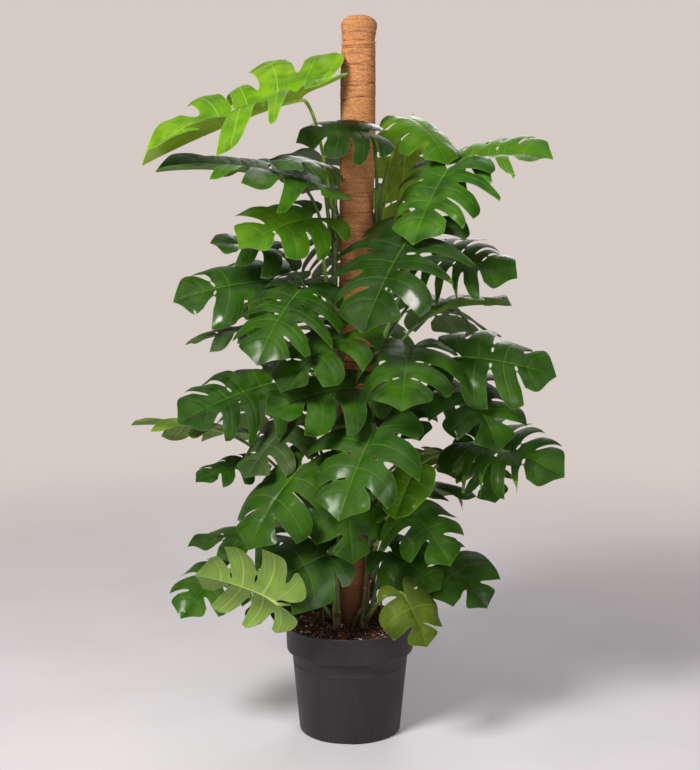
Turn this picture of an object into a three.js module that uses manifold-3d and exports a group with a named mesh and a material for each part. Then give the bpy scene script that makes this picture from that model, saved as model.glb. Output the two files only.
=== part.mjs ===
// A potted swiss cheese plant on a coir pole.
// Millimetres, +Z up, the viewer's side is -Y, and the origin is the centre of the pot's base.

import * as THREE from "three";
import { mergeVertices } from "three/addons/utils/BufferGeometryUtils.js";
import Module from "manifold-3d";

const wasm = await Module();
wasm.setup();

// Driving dimensions
const RIM_RADIUS = 135;
const POT_HEIGHT = 230;
const RIM_DEPTH = 56;
const RIM_FOOT = POT_HEIGHT - RIM_DEPTH;
const BODY_TOP_RADIUS = 121;
const BASE_RADIUS = 106;
const POT_WALL = 2.4;
const POT_FLOOR = 3;
const DRAIN_HOLES = 6;
const DRAIN_RADIUS = 6;
const DRAIN_CIRCLE = 78;
const POT_SEGMENTS = 24;

const SOIL_EDGE = 220;
const SOIL_MOUND = 17;
const SOIL_MOUND_RADIUS = 75;
const SOIL_LUMPS = 1.6;

const POLE_TOP = 1468;
const POLE_FOOT = 110;
const SLEEVE_RADIUS = 35;
const POST_RADIUS = 16;
const POLE_OFFSET = 4;
const POLE_LEAN = 0.011;

const STEM_RADIUS = 9;
const STEM_TAPER = 2.5;
const STEM_FOOT = 130;
const STEM_RUNS = 10;
const STEM_OFFSET = 46.5;

const TIE_HEIGHT = 780;
const TIE_RADIUS = 1.3;

const BLADE_THICKNESS = 0.9;
const STALK_RADIUS = 3.6;
const STALK_FOOT_RADIUS = 5.5;
const MIDRIB_DEPTH = 2;

// Shares of a blade's length: half of its greatest width, where that lies, and the split nearest the tip.
const HALF_WIDTH = 0.62;
const WIDEST = 0.14;
const LAST_SPLIT = 0.8;
const LOBE_DROOP = 0.17;

// Free room between pieces that touch
const GAP = 0.3;

const UP = new THREE.Vector3(0, 0, 1);

const COLOURS = {
  pot: [0x35302f, 0.62],
  soil: [0x3a2418, 0.95],
  coir: [0xb97c52, 0.95],
  post: [0x6b5a45, 0.8],
  stem: [0x5f6b3a, 0.7],
  wire: [0x26231f, 0.5],
  young: [0x8fbf3f, 0.4],
  light: [0x6fa045, 0.4],
  mid: [0x3f7a30, 0.35],
  dark: [0x285a26, 0.32],
  grey: [0x4c6a58, 0.3],
  olive: [0x55703a, 0.5],
  pale: [0x8fae5c, 0.5],
};

// The four climbing stems: the angle where each stands round the pole, at the soil and at its top,
// and the height of that top.
const STEMS = {
  left: { foot: -125, head: -165, top: 1120 },
  right: { foot: -62, head: -12, top: 1140 },
  back_left: { foot: 140, head: 118, top: 1060 },
  back_right: { foot: 48, head: 62, top: 1080 },
};

// Each leaf: name, stem, height where its stalk leaves the stem, place of the joint between stalk and
// blade, place of the blade's tip, roll of the blade about its midrib, how far the midrib bends over,
// how far the halves fold up from it, side lobes in each half, and colour. Millimetres and degrees.
const LEAVES = [
  ["leaf_top_left_young", "left", 1090, [-95, -95, 1300], [-400, -80, 1175], -16, 10, 37, 3, "young"],
  ["leaf_top_left_dark", "left", 995, [-95, -55, 1135], [-370, -115, 1160], -9, 25, 30, 3, "mid"],
  ["leaf_top_front", "right", 1055, [35, -120, 1235], [-100, -155, 1215], -30, 35, 15, 2, "dark"],
  ["leaf_top_front_low", "left", 1025, [-65, -70, 1180], [-135, -180, 1165], -15, 40, 5, 2, "mid"],
  ["leaf_top_right_arched", "back_right", 1045, [125, 10, 1265], [190, -80, 1175], 5, 40, 0, 2, "light"],
  ["leaf_top_right_hanging", "back_right", 985, [115, 105, 1195], [90, 85, 1035], 160, 15, 15, 2, "young"],
  ["leaf_top_right_long", "right", 1035, [225, 15, 1175], [395, -65, 1185], 25, 35, 30, 3, "light"],
  ["leaf_top_right_low", "right", 935, [190, -85, 1165], [120, -185, 1025], -5, 25, 15, 3, "mid"],
  ["leaf_centre_high", "right", 855, [115, -125, 1035], [25, -260, 865], 0, 20, 15, 3, "dark"],
  ["leaf_right_high", "right", 820, [165, -30, 995], [325, -100, 955], 33, 25, 15, 4, "mid"],
  ["leaf_right_edge_on", "right", 750, [170, -15, 880], [320, -60, 895], -2, 25, 35, 2, "mid"],
  ["leaf_right_round", "right", 690, [220, -110, 800], [400, -135, 765], 40, 25, 15, 2, "mid"],
  ["leaf_front_heart", "right", 660, [115, -140, 820], [95, -305, 725], 0, 30, 12, 2, "dark"],
  ["leaf_right_glossy", "right", 585, [230, -100, 740], [285, -200, 630], 9, 30, 12, 2, "dark"],
  ["leaf_right_far", "right", 490, [255, -50, 620], [420, -135, 565], 32, 30, 18, 4, "mid"],
  ["leaf_right_hanging", "right", 410, [265, -25, 605], [295, -50, 495], 35, 20, 15, 3, "mid"],
  ["leaf_right_behind", "back_right", 500, [155, 65, 580], [245, 175, 490], -5, 30, 15, 2, "olive"],
  ["leaf_right_inner", "back_right", 525, [100, -85, 705], [135, -175, 645], 20, 15, 20, 1, "dark"],
  ["leaf_centre_big", "right", 400, [45, -190, 665], [-20, -290, 515], -5, 20, 17, 2, "mid"],
  ["leaf_centre_young", "right", 380, [122, -130, 565], [88, -185, 490], 0, 15, 25, 0, "young"],
  ["leaf_right_low_inner", "right", 335, [115, -110, 500], [195, -185, 400], 20, 30, 15, 2, "mid"],
  ["leaf_right_low_round", "right", 300, [195, -45, 375], [275, -105, 290], 25, 25, 17, 1, "dark"],
  ["leaf_front_low", "right", 246, [105, -165, 335], [150, -200, 240], 30, 40, 12, 1, "olive"],
  ["leaf_front_low_dark", "right", 257, [85, -70, 395], [180, -110, 330], 40, 30, 10, 1, "dark"],
  ["leaf_left_high", "left", 895, [-75, -50, 1070], [-210, -150, 1015], -27, 30, 23, 2, "light"],
  ["leaf_left_up", "left", 795, [-145, -5, 1005], [-275, -55, 1020], -25, 15, 15, 2, "dark"],
  ["leaf_left_far_high", "left", 750, [-160, 35, 940], [-355, -5, 900], -35, 25, 20, 2, "mid"],
  ["leaf_left_edge_on", "left", 690, [-180, 60, 840], [-340, 55, 805], -3, 15, 20, 2, "grey"],
  ["leaf_left_big", "left", 730, [-100, -110, 930], [-175, -220, 800], -13, 35, 10, 3, "dark"],
  ["leaf_left_inner", "left", 640, [-15, -115, 845], [-130, -205, 745], -12, 30, 20, 2, "dark"],
  ["leaf_left_mid", "left", 560, [10, -125, 740], [-160, -190, 700], -25, 30, 15, 2, "dark"],
  ["leaf_left_wide", "left", 510, [-160, -15, 735], [-340, -95, 665], -25, 20, 15, 3, "dark"],
  ["leaf_left_pale_tip", "back_left", 390, [-260, 50, 625], [-455, 60, 635], 13, 15, 25, 2, "pale"],
  ["leaf_left_low_tip", "left", 415, [-210, -10, 570], [-310, -65, 540], -10, 20, 15, 2, "dark"],
  ["leaf_left_grey", "left", 460, [-125, -60, 660], [-205, -140, 565], -10, 15, 10, 2, "grey"],
  ["leaf_left_low_big", "left", 365, [-95, -120, 585], [-195, -195, 435], -12, 30, 12, 2, "mid"],
  ["leaf_left_low_far", "left", 300, [-155, 0, 415], [-330, -40, 400], -5, 25, 15, 2, "dark"],
  ["leaf_left_low_pale", "left", 280, [-145, -200, 330], [-300, -195, 380], 63, 30, 30, 2, "pale"],
  ["leaf_front_small", "left", 400, [-10, -115, 525], [5, -170, 400], -5, 20, 10, 1, "dark"],
  ["leaf_left_low_front", "left", 256, [-50, -130, 405], [-180, -165, 335], -40, 30, 5, 1, "dark"],
  ["leaf_left_low_behind", "back_left", 261, [-255, -20, 345], [-340, -110, 270], -15, 40, 20, 2, "mid"],
  ["leaf_left_low_drop", "left", 250, [-120, -75, 330], [-205, -110, 255], -10, 35, 15, 1, "dark"],
  ["leaf_back_top", "back_left", 1000, [-55, 110, 1190], [-105, 285, 1115], 10, 30, 15, 2, "dark"],
  ["leaf_back_high", "back_right", 880, [0, 140, 1025], [15, 335, 930], -5, 10, 5, 3, "dark"],
  ["leaf_back_left_high", "back_left", 810, [-95, 115, 930], [-225, 240, 840], 0, 15, 25, 2, "dark"],
  ["leaf_back_right_high", "back_right", 730, [150, 135, 900], [250, 280, 795], 0, 35, 10, 2, "dark"],
  ["leaf_back_mid", "back_left", 620, [0, 155, 835], [-60, 355, 710], 10, 25, 25, 3, "dark"],
  ["leaf_back_right_mid", "back_right", 560, [140, 120, 710], [280, 225, 635], 5, 25, 10, 2, "dark"],
  ["leaf_back_left_mid", "back_left", 490, [-135, 155, 680], [-245, 295, 570], 15, 30, 20, 2, "dark"],
  ["leaf_back_low_right", "back_right", 265, [130, 150, 490], [195, 325, 420], 10, 45, 20, 2, "dark"],
  ["leaf_back_low_left", "back_left", 290, [-95, 140, 445], [-185, 290, 350], 5, 30, 15, 2, "dark"],
];

const degrees = (angle) => (angle * Math.PI) / 180;

// A repeatable random number between 0 and 1, for the leaf's number and what it is used for.
function chance(number, use) {
  const wave = Math.sin(number * 12.9898 + use * 78.233) * 43758.5453;
  return wave - Math.floor(wave);
}

function poleX(z) {
  return POLE_OFFSET + (z - SOIL_EDGE) * POLE_LEAN;
}

function stemCurve(stem, z) {
  const climb = THREE.MathUtils.clamp((z - SOIL_EDGE) / (stem.top - SOIL_EDGE), 0, 1);
  const swing = degrees(3) * Math.sin(z / 70 + stem.foot);
  const angle = degrees(THREE.MathUtils.lerp(stem.foot, stem.head, climb ** 0.6)) + swing;
  return new THREE.Vector3(
    poleX(z) + STEM_OFFSET * Math.cos(angle),
    STEM_OFFSET * Math.sin(angle),
    z,
  );
}

// The stem's axis at a height: it runs straight between evenly spaced points of its curve.
function stemAt(stem, z) {
  const run = (stem.top - STEM_FOOT) / STEM_RUNS;
  const below = STEM_FOOT + run * Math.min(STEM_RUNS - 1, Math.floor((z - STEM_FOOT) / run));
  const [from, to] = [stemCurve(stem, below), stemCurve(stem, below + run)];
  return from.lerp(to, (z - below) / run);
}

// Solids

function toSolid(geometry) {
  const plain = geometry.index ? geometry.clone() : geometry;
  for (const name of ["normal", "uv"]) plain.deleteAttribute(name);
  const merged = mergeVertices(plain, 1e-4);
  return new wasm.Manifold(
    new wasm.Mesh({
      numProp: 3,
      vertProperties: new Float32Array(merged.attributes.position.array),
      triVerts: new Uint32Array(merged.index.array),
    }),
  );
}

function toGeometry(solid) {
  const mesh = solid.getMesh();
  const geometry = new THREE.BufferGeometry();
  geometry.setAttribute("position", new THREE.BufferAttribute(mesh.vertProperties, 3));
  geometry.setIndex(new THREE.BufferAttribute(mesh.triVerts, 1));
  geometry.computeVertexNormals();
  return geometry;
}

function indexed(points, triangles) {
  const geometry = new THREE.BufferGeometry();
  geometry.setFromPoints(points);
  geometry.setIndex(triangles);
  return geometry;
}

// A closed tube through the points, with a radius for each point and flat ends.
function taperedTube(points, radii, sides) {
  const vertices = [];
  const triangles = [];
  const last = points.length - 1;
  const across = new THREE.Vector3(1, 0.3, 0.1);
  points.forEach((point, i) => {
    const along = new THREE.Vector3();
    if (i > 0) along.add(point.clone().sub(points[i - 1]).normalize());
    if (i < last) along.add(points[i + 1].clone().sub(point).normalize());
    along.normalize();
    across.addScaledVector(along, -across.dot(along)).normalize();
    const other = along.clone().cross(across);
    for (let k = 0; k < sides; k++) {
      const turn = (2 * Math.PI * k) / sides;
      vertices.push(
        point
          .clone()
          .addScaledVector(across, radii[i] * Math.cos(turn))
          .addScaledVector(other, radii[i] * Math.sin(turn)),
      );
    }
  });
  for (let i = 0; i < last; i++) {
    for (let k = 0; k < sides; k++) {
      const a = i * sides + k;
      const b = i * sides + ((k + 1) % sides);
      triangles.push(a, b, b + sides, a, b + sides, a + sides);
    }
  }
  for (let k = 1; k < sides - 1; k++) {
    triangles.push(0, k + 1, k);
    const end = last * sides;
    triangles.push(end, end + k, end + k + 1);
  }
  return indexed(vertices, triangles);
}

function lathe(profile, segments) {
  const points = profile.map(([radius, z]) => new THREE.Vector2(radius, z));
  return new THREE.LatheGeometry(points, segments).rotateX(Math.PI / 2);
}

// Pot

// The pot's inner face, from the floor up. The soil follows it.
const POT_INSIDE = [
  [BASE_RADIUS - 7, POT_FLOOR],
  [BASE_RADIUS - POT_WALL, POT_FLOOR + 4],
  [BODY_TOP_RADIUS - POT_WALL, RIM_FOOT - 5],
  [RIM_RADIUS - 6, RIM_FOOT + 5],
  [RIM_RADIUS - 4, POT_HEIGHT],
];

function makePot() {
  const profile = [
    [0, 0],
    [BASE_RADIUS - 5, 0],
    [BASE_RADIUS - 1.5, 1.5],
    [BASE_RADIUS, 6],
    [BODY_TOP_RADIUS - 1.6, RIM_FOOT - 26],
    [BODY_TOP_RADIUS, RIM_FOOT - 7],
    [RIM_RADIUS - 3.5, RIM_FOOT + 1],
    [RIM_RADIUS - 3, RIM_FOOT + 4],
    [RIM_RADIUS - 1.2, POT_HEIGHT - 4],
    [RIM_RADIUS, POT_HEIGHT - 2],
    [RIM_RADIUS - 1.2, POT_HEIGHT],
    ...POT_INSIDE.slice().reverse(),
    [0, POT_FLOOR],
  ];
  let pot = toSolid(lathe(profile, POT_SEGMENTS));
  const depth = 4 * POT_FLOOR;
  for (let i = 0; i < DRAIN_HOLES; i++) {
    const angle = (2 * Math.PI * i) / DRAIN_HOLES;
    const hole = new THREE.CylinderGeometry(DRAIN_RADIUS, DRAIN_RADIUS, depth, 6).rotateX(Math.PI / 2);
    hole.translate(DRAIN_CIRCLE * Math.cos(angle), DRAIN_CIRCLE * Math.sin(angle), 0);
    pot = pot.subtract(toSolid(hole));
  }
  return toGeometry(pot);
}

// Soil, with plain holes for what stands in it

function soilHeight(x, y) {
  const mound = SOIL_MOUND * Math.exp(-((Math.hypot(x, y) / SOIL_MOUND_RADIUS) ** 2));
  const lumps = Math.sin(x / 13 + 1) * Math.cos(y / 11) + 0.75 * Math.sin((x - y) / 19);
  return SOIL_EDGE + mound + SOIL_LUMPS * lumps;
}

function makeSoil(holes) {
  const body = POT_INSIDE.slice(0, -1).map(([radius, z]) => [radius - GAP - 0.1, z + GAP]);
  const surface = [RIM_RADIUS - 5 - GAP, 98, 64, 30, 0].map((radius) => [radius, POT_HEIGHT]);
  const geometry = lathe([[0, POT_FLOOR + GAP], ...body, ...surface], POT_SEGMENTS);
  const position = geometry.attributes.position;
  for (let i = 0; i < position.count; i++) {
    if (position.getZ(i) === POT_HEIGHT) {
      position.setZ(i, soilHeight(position.getX(i), position.getY(i)));
    }
  }
  let soil = toSolid(geometry);
  for (const hole of holes) soil = soil.subtract(hole);
  return toGeometry(soil);
}

// Pole: a coir sleeve on a stiff post

function leaning(geometry) {
  const position = geometry.attributes.position;
  for (let i = 0; i < position.count; i++) {
    position.setX(i, position.getX(i) + poleX(position.getZ(i)));
  }
  return geometry;
}

// The sleeve, its post and the stems are also made thicker by an extra, to cut the holes they stand in.
function sleeveSolid(extra) {
  const rings = 10;
  const dome = [
    [SLEEVE_RADIUS + 1.5, 16],
    [SLEEVE_RADIUS - 1, 7],
    [SLEEVE_RADIUS - 10, 1.5],
  ];
  const foot = POLE_FOOT - extra;
  const profile = [[0, foot]];
  for (let i = 0; i <= rings; i++) {
    const z = THREE.MathUtils.lerp(foot, POLE_TOP - 24, i / rings);
    profile.push([SLEEVE_RADIUS + 0.7 * Math.sin(z / 23) + extra, z]);
  }
  for (const [radius, depth] of dome) profile.push([radius + extra, POLE_TOP - depth]);
  profile.push([0, POLE_TOP]);
  return toSolid(leaning(lathe(profile, 18)));
}

function postSolid(extra) {
  const foot = POT_FLOOR + GAP + 2 - extra;
  const head = POLE_TOP - 30 + extra;
  const radius = POST_RADIUS + extra;
  return toSolid(leaning(lathe([[0, foot], [radius, foot], [radius, head], [0, head]], 12)));
}

// Climbing stems

function stemRadius(stem, z) {
  return STEM_RADIUS - (STEM_TAPER * (z - STEM_FOOT)) / (stem.top - STEM_FOOT);
}

function stemSolid(stem, extra) {
  const points = [];
  const radii = [];
  for (let i = 0; i <= STEM_RUNS; i++) {
    const z = THREE.MathUtils.lerp(STEM_FOOT, stem.top, i / STEM_RUNS);
    points.push(stemAt(stem, z));
    radii.push(stemRadius(stem, z) + extra);
  }
  points.push(stemAt(stem, stem.top + 6 + extra));
  radii.push(2.5 + extra);
  points[0].z -= extra;
  return toSolid(taperedTube(points, radii, 8));
}

// Tie: a wire loop round the sleeve and the stems, drawn tight. Seen from above it is the outline that
// a band takes round five circles.

function makeTie(height) {
  const sides = 12;
  const circles = Object.values(STEMS)
    .filter((stem) => stem.top > height)
    .map((stem) => ({ centre: stemAt(stem, height), radius: stemRadius(stem, height) }));
  circles.push({ centre: new THREE.Vector3(poleX(height), 0, height), radius: SLEEVE_RADIUS + 0.7 });
  const outline = [];
  for (let k = 0; k < 3 * sides; k++) {
    const angle = (2 * Math.PI * k) / (3 * sides);
    const away = new THREE.Vector3(Math.cos(angle), Math.sin(angle), 0);
    const farthest = circles
      .map(({ centre, radius }) => ({ centre, radius, reach: centre.dot(away) + radius }))
      .reduce((best, circle) => (circle.reach > best.reach ? circle : best));
    const radius = (farthest.radius + TIE_RADIUS + GAP) / Math.cos(Math.PI / sides);
    outline.push({ place: farthest.centre.clone().addScaledVector(away, radius), away });
  }
  const points = [];
  const triangles = [];
  for (const { place, away } of outline) {
    points.push(place.clone().addScaledVector(away, TIE_RADIUS));
    points.push(place.clone().addScaledVector(UP, TIE_RADIUS));
    points.push(place.clone().addScaledVector(away, -TIE_RADIUS));
    points.push(place.clone().addScaledVector(UP, -TIE_RADIUS));
  }
  for (let i = 0; i < outline.length; i++) {
    const next = (i + 1) % outline.length;
    for (let k = 0; k < 4; k++) {
      const [a, b] = [4 * i + k, 4 * i + ((k + 1) % 4)];
      const [c, d] = [4 * next + k, 4 * next + ((k + 1) % 4)];
      triangles.push(a, c, b, b, c, d);
    }
  }
  return indexed(points, triangles);
}

// Leaves
//
// A blade is laid out flat first: s runs across it, t along the midrib, from the joint at 0 to the tip at 1.
// Its margin is a heart, cut into lobes by splits that run in between the side veins.

function margin(t) {
  const reach = t > WIDEST ? 0.9 : 0.56;
  const rest = 1 - ((t - WIDEST) / reach) ** 2;
  return HALF_WIDTH * Math.max(rest, 0.02) ** 0.62;
}

const between = (from, to, share) => [
  from[0] + (to[0] - from[0]) * share,
  from[1] + (to[1] - from[1]) * share,
];

// One half of the blade: its points, its triangles and the points along the margin, joint first. A point
// is s, t and how far it is lifted off the blade's smooth shape, all as shares of the blade's length.
// The joint is there twice, once for the ear behind it and once for the lobes ahead, and turn is the
// point in which these two parts meet.
function halfBlade(number, hand, lobes) {
  const points = [];
  const edge = [];
  const triangles = [];
  const add = ([s, t], onEdge = true, lift = 0) => {
    points.push([s, t, lift]);
    if (onEdge) edge.push(points.length - 1);
    return points.length - 1;
  };
  const random = (use) => chance(number, use + (hand > 0 ? 50 : 0));

  const joint = add([0, 0]);
  const ahead = add([0, 0], false);
  const ear = [
    [0.05, -0.06],
    [0.1, -0.2],
    [0.22, -0.3],
    [0.38, -0.27],
    [0.51, -0.13],
  ].map((point) => add(point));
  triangles.push([ear[0], ear[1], ear[2]]);

  if (lobes === 0) {
    const [low, wide, high, last] = [0.1, 0.4, 0.66, 0.87].map((t) => add([margin(t) * 0.9, t]));
    const tip = add([0, 1]);
    const [rib, nextRib] = [0.3, 0.6].map((t) => add([0, t], false));
    triangles.push([ear[0], ear[2], ear[3]], [ear[0], ear[3], ear[4]], [ear[0], ear[4], low]);
    triangles.push([joint, ear[0], low]);
    triangles.push([ahead, low, rib], [rib, low, wide], [rib, wide, nextRib]);
    triangles.push([nextRib, wide, high], [nextRib, high, last], [nextRib, last, tip]);
    return { points, edge, triangles, turn: low };
  }

  // Each split starts some way out from the midrib, follows the side veins forward and opens slowly.
  const splits = [];
  for (let i = 0; i <= lobes; i++) {
    const even = 0.02 + (LAST_SPLIT - 0.02) * (i / lobes) ** 0.95;
    splits.push({
      t: even + 0.09 * (random(i + 40) - 0.5),
      root: [0, 0.03 + 0.68 * even],
      start: 0.24 + 0.24 * random(i),
      open: 0.03 + 0.06 * random(i + 10),
    });
  }
  const inSplit = ({ t, root, start, open }, share, edgeSign) => {
    const [s, along] = between(root, [margin(t), t], share);
    const gap = open * Math.max(0, (share - start) / (1 - start)) ** 0.5;
    return [s, along - 0.16 * share * (1 - share) + edgeSign * gap];
  };

  const flap = add(inSplit(splits[0], 0.82, -1));
  const turn = add(inSplit(splits[0], splits[0].start, 0));
  triangles.push([joint, ear[0], turn], [ear[0], ear[2], turn], [turn, ear[2], ear[3]]);
  triangles.push([turn, ear[3], ear[4]], [turn, ear[4], flap]);

  let [rib, below] = [ahead, turn];
  for (let i = 1; i <= lobes; i++) {
    const [lower, upper] = [splits[i - 1], splits[i]];
    const root = between(lower.root, upper.root, 0.5);
    const onMargin = (share, reach) => {
      const t = THREE.MathUtils.lerp(lower.t + lower.open, upper.t - upper.open, share);
      return between(root, [margin(t), t], reach);
    };
    // Every lobe hangs in its own way.
    const droop = LOBE_DROOP * (random(i + 60) - 0.6);
    const flank = add(inSplit(lower, 0.7, 1), true, droop * 0.4);
    const corner = add(onMargin(0.08, 0.93), true, droop * 0.85);
    const end = add(onMargin(0.5, 1.03 + 0.05 * random(i + 20)), true, droop);
    const apex = add(onMargin(0.95, 1.03 + 0.1 * random(i + 30)), true, droop * 1.15);
    const inside = add(inSplit(upper, 0.8, -1), true, droop * 0.6);
    const above = add(inSplit(upper, upper.start, 0));
    const nextRib = add(upper.root, false);
    triangles.push([rib, below, above], [rib, above, nextRib]);
    triangles.push([below, flank, above], [flank, inside, above], [flank, corner, inside]);
    triangles.push([corner, apex, inside], [corner, end, apex]);
    below = above;
    rib = nextRib;
  }
  const cheek = add([margin(0.88) * 0.95, 0.86]);
  const lip = add([margin(0.96) * 0.6, 0.95]);
  const tip = add([0, 1.02]);
  triangles.push([rib, below, cheek], [rib, cheek, lip], [rib, lip, tip]);
  return { points, edge, triangles, turn };
}

// How a flat point of the blade lies in space: the midrib is an arc from joint to tip, and each half
// rises a little from it and then hangs over.
function bladeShape(leaf, number) {
  const [, , , jointPlace, tipPlace, roll, bend, fold] = leaf;
  const joint = new THREE.Vector3(...jointPlace);
  const chord = new THREE.Vector3(...tipPlace).sub(joint);
  const length = chord.length();
  const forward = chord.clone().normalize();
  const level = forward.clone().cross(UP).normalize();
  const face = level.clone().cross(forward);
  face.multiplyScalar(Math.cos(degrees(roll))).addScaledVector(level, Math.sin(degrees(roll)));
  const across = forward.clone().cross(face);
  const halfBend = degrees(bend) / 2;
  const arc = length / (2 * Math.sin(halfBend));
  const rise = degrees(fold);
  const fall = degrees(50 + 25 * chance(number, 4));
  const wave = 0.02 + 0.025 * chance(number, 5);
  const curve = fall / HALF_WIDTH;

  function at(s, t) {
    const slope = halfBend * (1 - 2 * t);
    const along = arc * (Math.sin(halfBend) - Math.sin(slope));
    const lift = arc * (Math.cos(slope) - Math.cos(halfBend));
    const normal = face.clone().multiplyScalar(Math.cos(slope));
    normal.addScaledVector(forward, -Math.sin(slope));
    const reach = Math.abs(s);
    const out = (length * (Math.sin(rise) - Math.sin(rise - curve * reach))) / curve;
    const arch = (length * (Math.cos(rise - curve * reach) - Math.cos(rise))) / curve;
    const ripple = Math.sin(9 * t + (s > 0 ? 0 : 2) + number) * (reach / HALF_WIDTH) ** 2;
    return joint
      .clone()
      .addScaledVector(forward, along)
      .addScaledVector(face, lift)
      .addScaledVector(normal, arch + length * wave * ripple)
      .addScaledVector(across, Math.sign(s) * out);
  }

  function normalAt(s, t) {
    const step = 0.01;
    const sideways = at(s + step, t).sub(at(s - step, t));
    const lengthways = at(s, t + step).sub(at(s, t - step));
    return sideways.cross(lengthways).normalize();
  }

  return { at, normalAt, forward, across, length };
}

// The stalk runs from the joint back down to its stem: places and directions of its rings, joint first.
function stalkPath(leaf, shape) {
  const [, stemName, height] = leaf;
  const stem = STEMS[stemName];
  const axis = stemAt(stem, height);
  const joint = shape.at(0, 0).addScaledVector(shape.normalAt(0, 0), BLADE_THICKNESS / 2 - STALK_RADIUS);
  const knee = joint.clone().addScaledVector(shape.forward, -6).addScaledVector(shape.normalAt(0, 0), -3);
  const outward = knee.clone().sub(axis).setZ(0);
  const out = outward.clone().normalize();
  const foot = axis.clone().addScaledVector(out, stemRadius(stem, height) + GAP);
  const start = foot.clone().addScaledVector(out, 6.5).addScaledVector(UP, 5);
  const climb = knee.z - start.z;
  const reach = outward.length();
  const curve = new THREE.CubicBezierCurve3(
    start,
    start.clone().addScaledVector(outward, 0.2).addScaledVector(UP, climb * 0.45),
    knee
      .clone()
      .addScaledVector(outward, -0.2)
      .addScaledVector(shape.forward, -0.12 * reach)
      .addScaledVector(UP, -climb * 0.12),
    knee,
  );
  const rings = [
    { place: joint, along: shape.forward, radius: STALK_RADIUS },
    { place: knee, along: shape.forward.clone().add(curve.getTangent(1)).normalize(), radius: STALK_RADIUS },
  ];
  for (const u of [0.75, 0.5, 0.25, 0]) {
    const radius = THREE.MathUtils.lerp(STALK_FOOT_RADIUS, STALK_RADIUS, Math.min(1, u * 2.5));
    rings.push({ place: curve.getPoint(u), along: curve.getTangent(u), radius });
  }
  rings.push({ place: foot, along: out, radius: STALK_FOOT_RADIUS });
  return rings;
}

// One closed mesh: the blade's two faces and its cut edge, and the stalk that widens into the blade's
// underside at the joint. The underside is thicker along the midrib.
function makeLeaf(leaf, number) {
  const shape = bladeShape(leaf, number);
  const points = [];
  const triangles = [];
  const add = (point) => points.push(point) - 1;

  const side = shape.across.clone();
  const rings = stalkPath(leaf, shape).map(({ place, along, radius }) => {
    side.addScaledVector(along, -side.dot(along)).normalize();
    const top = side.clone().cross(along);
    return [
      add(place.clone().addScaledVector(top, radius)),
      add(place.clone().addScaledVector(side, radius)),
      add(place.clone().addScaledVector(top, -radius)),
      add(place.clone().addScaledVector(side, -radius)),
    ];
  });
  for (let i = 0; i < rings.length - 1; i++) {
    for (let k = 0; k < 4; k++) {
      const [a, b] = [rings[i][k], rings[i][(k + 1) % 4]];
      const [c, d] = [rings[i + 1][k], rings[i + 1][(k + 1) % 4]];
      triangles.push(b, a, c, b, c, d);
    }
  }
  const foot = rings.at(-1);
  triangles.push(foot[0], foot[2], foot[1], foot[0], foot[3], foot[2]);

  const [jointTop, jointRight, jointBottom, jointLeft] = rings[0];
  for (const hand of [1, -1]) {
    const half = halfBlade(number, hand, leaf[8]);
    const jointSide = hand > 0 ? jointRight : jointLeft;
    const face = (i, j, k) => triangles.push(...(hand > 0 ? [i, j, k] : [i, k, j]));
    const offset = ([s, t, lift], distance) =>
      shape.at(hand * s, t).addScaledVector(shape.normalAt(hand * s, t), lift * shape.length + distance);
    const top = half.points.map((point, i) => (i < 2 ? jointTop : add(offset(point, BLADE_THICKNESS / 2))));
    const bottom = half.points.map((point, i) => {
      if (i < 2) return [jointSide, jointBottom][i];
      const keel = point[0] === 0 ? MIDRIB_DEPTH * (1 - point[1]) : 0;
      return add(offset(point, -BLADE_THICKNESS / 2 - keel));
    });
    for (const [a, b, c] of half.triangles) {
      face(top[a], top[b], top[c]);
      face(bottom[a], bottom[c], bottom[b]);
    }
    for (let e = 1; e < half.edge.length - 1; e++) {
      const [a, b] = [half.edge[e], half.edge[e + 1]];
      face(top[a], bottom[a], bottom[b]);
      face(top[a], bottom[b], top[b]);
    }
    const ear = half.edge[1];
    face(jointTop, jointSide, top[ear]);
    face(jointSide, bottom[ear], top[ear]);
    face(jointSide, jointBottom, bottom[half.turn]);
  }
  return indexed(points, triangles);
}

// The plant in its pot

const plant = new THREE.Group();

function place(name, geometry, colour) {
  const [shade, roughness] = COLOURS[colour];
  const mesh = new THREE.Mesh(
    geometry,
    new THREE.MeshStandardMaterial({ color: shade, roughness, metalness: 0 }),
  );
  mesh.name = name;
  plant.add(mesh);
}

const holes = [sleeveSolid(GAP), postSolid(GAP)];
for (const stem of Object.values(STEMS)) holes.push(stemSolid(stem, GAP));

place("nursery_pot", makePot(), "pot");
place("potting_soil", makeSoil(holes), "soil");
place("coir_sleeve", toGeometry(sleeveSolid(0).subtract(postSolid(GAP))), "coir");
place("pole_post", toGeometry(postSolid(0)), "post");
place("pole_tie", makeTie(TIE_HEIGHT), "wire");
for (const [name, stem] of Object.entries(STEMS)) {
  place(`stem_${name}`, toGeometry(stemSolid(stem, 0)), "stem");
}
LEAVES.forEach((leaf, number) => {
  place(leaf[0], makeLeaf(leaf, number), leaf[9]);
});

export default plant;
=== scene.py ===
# %% [markdown]
# # A potted swiss cheese plant on a coir pole
#
# The real plant is a climber: thick green stems tied to a pole wound with coconut fibre, about fifty
# split leaves on long stalks, and a black nursery pot full of soil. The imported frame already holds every
# piece at its real size. This lesson builds the finer skin of each piece over it, in metres.

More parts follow.
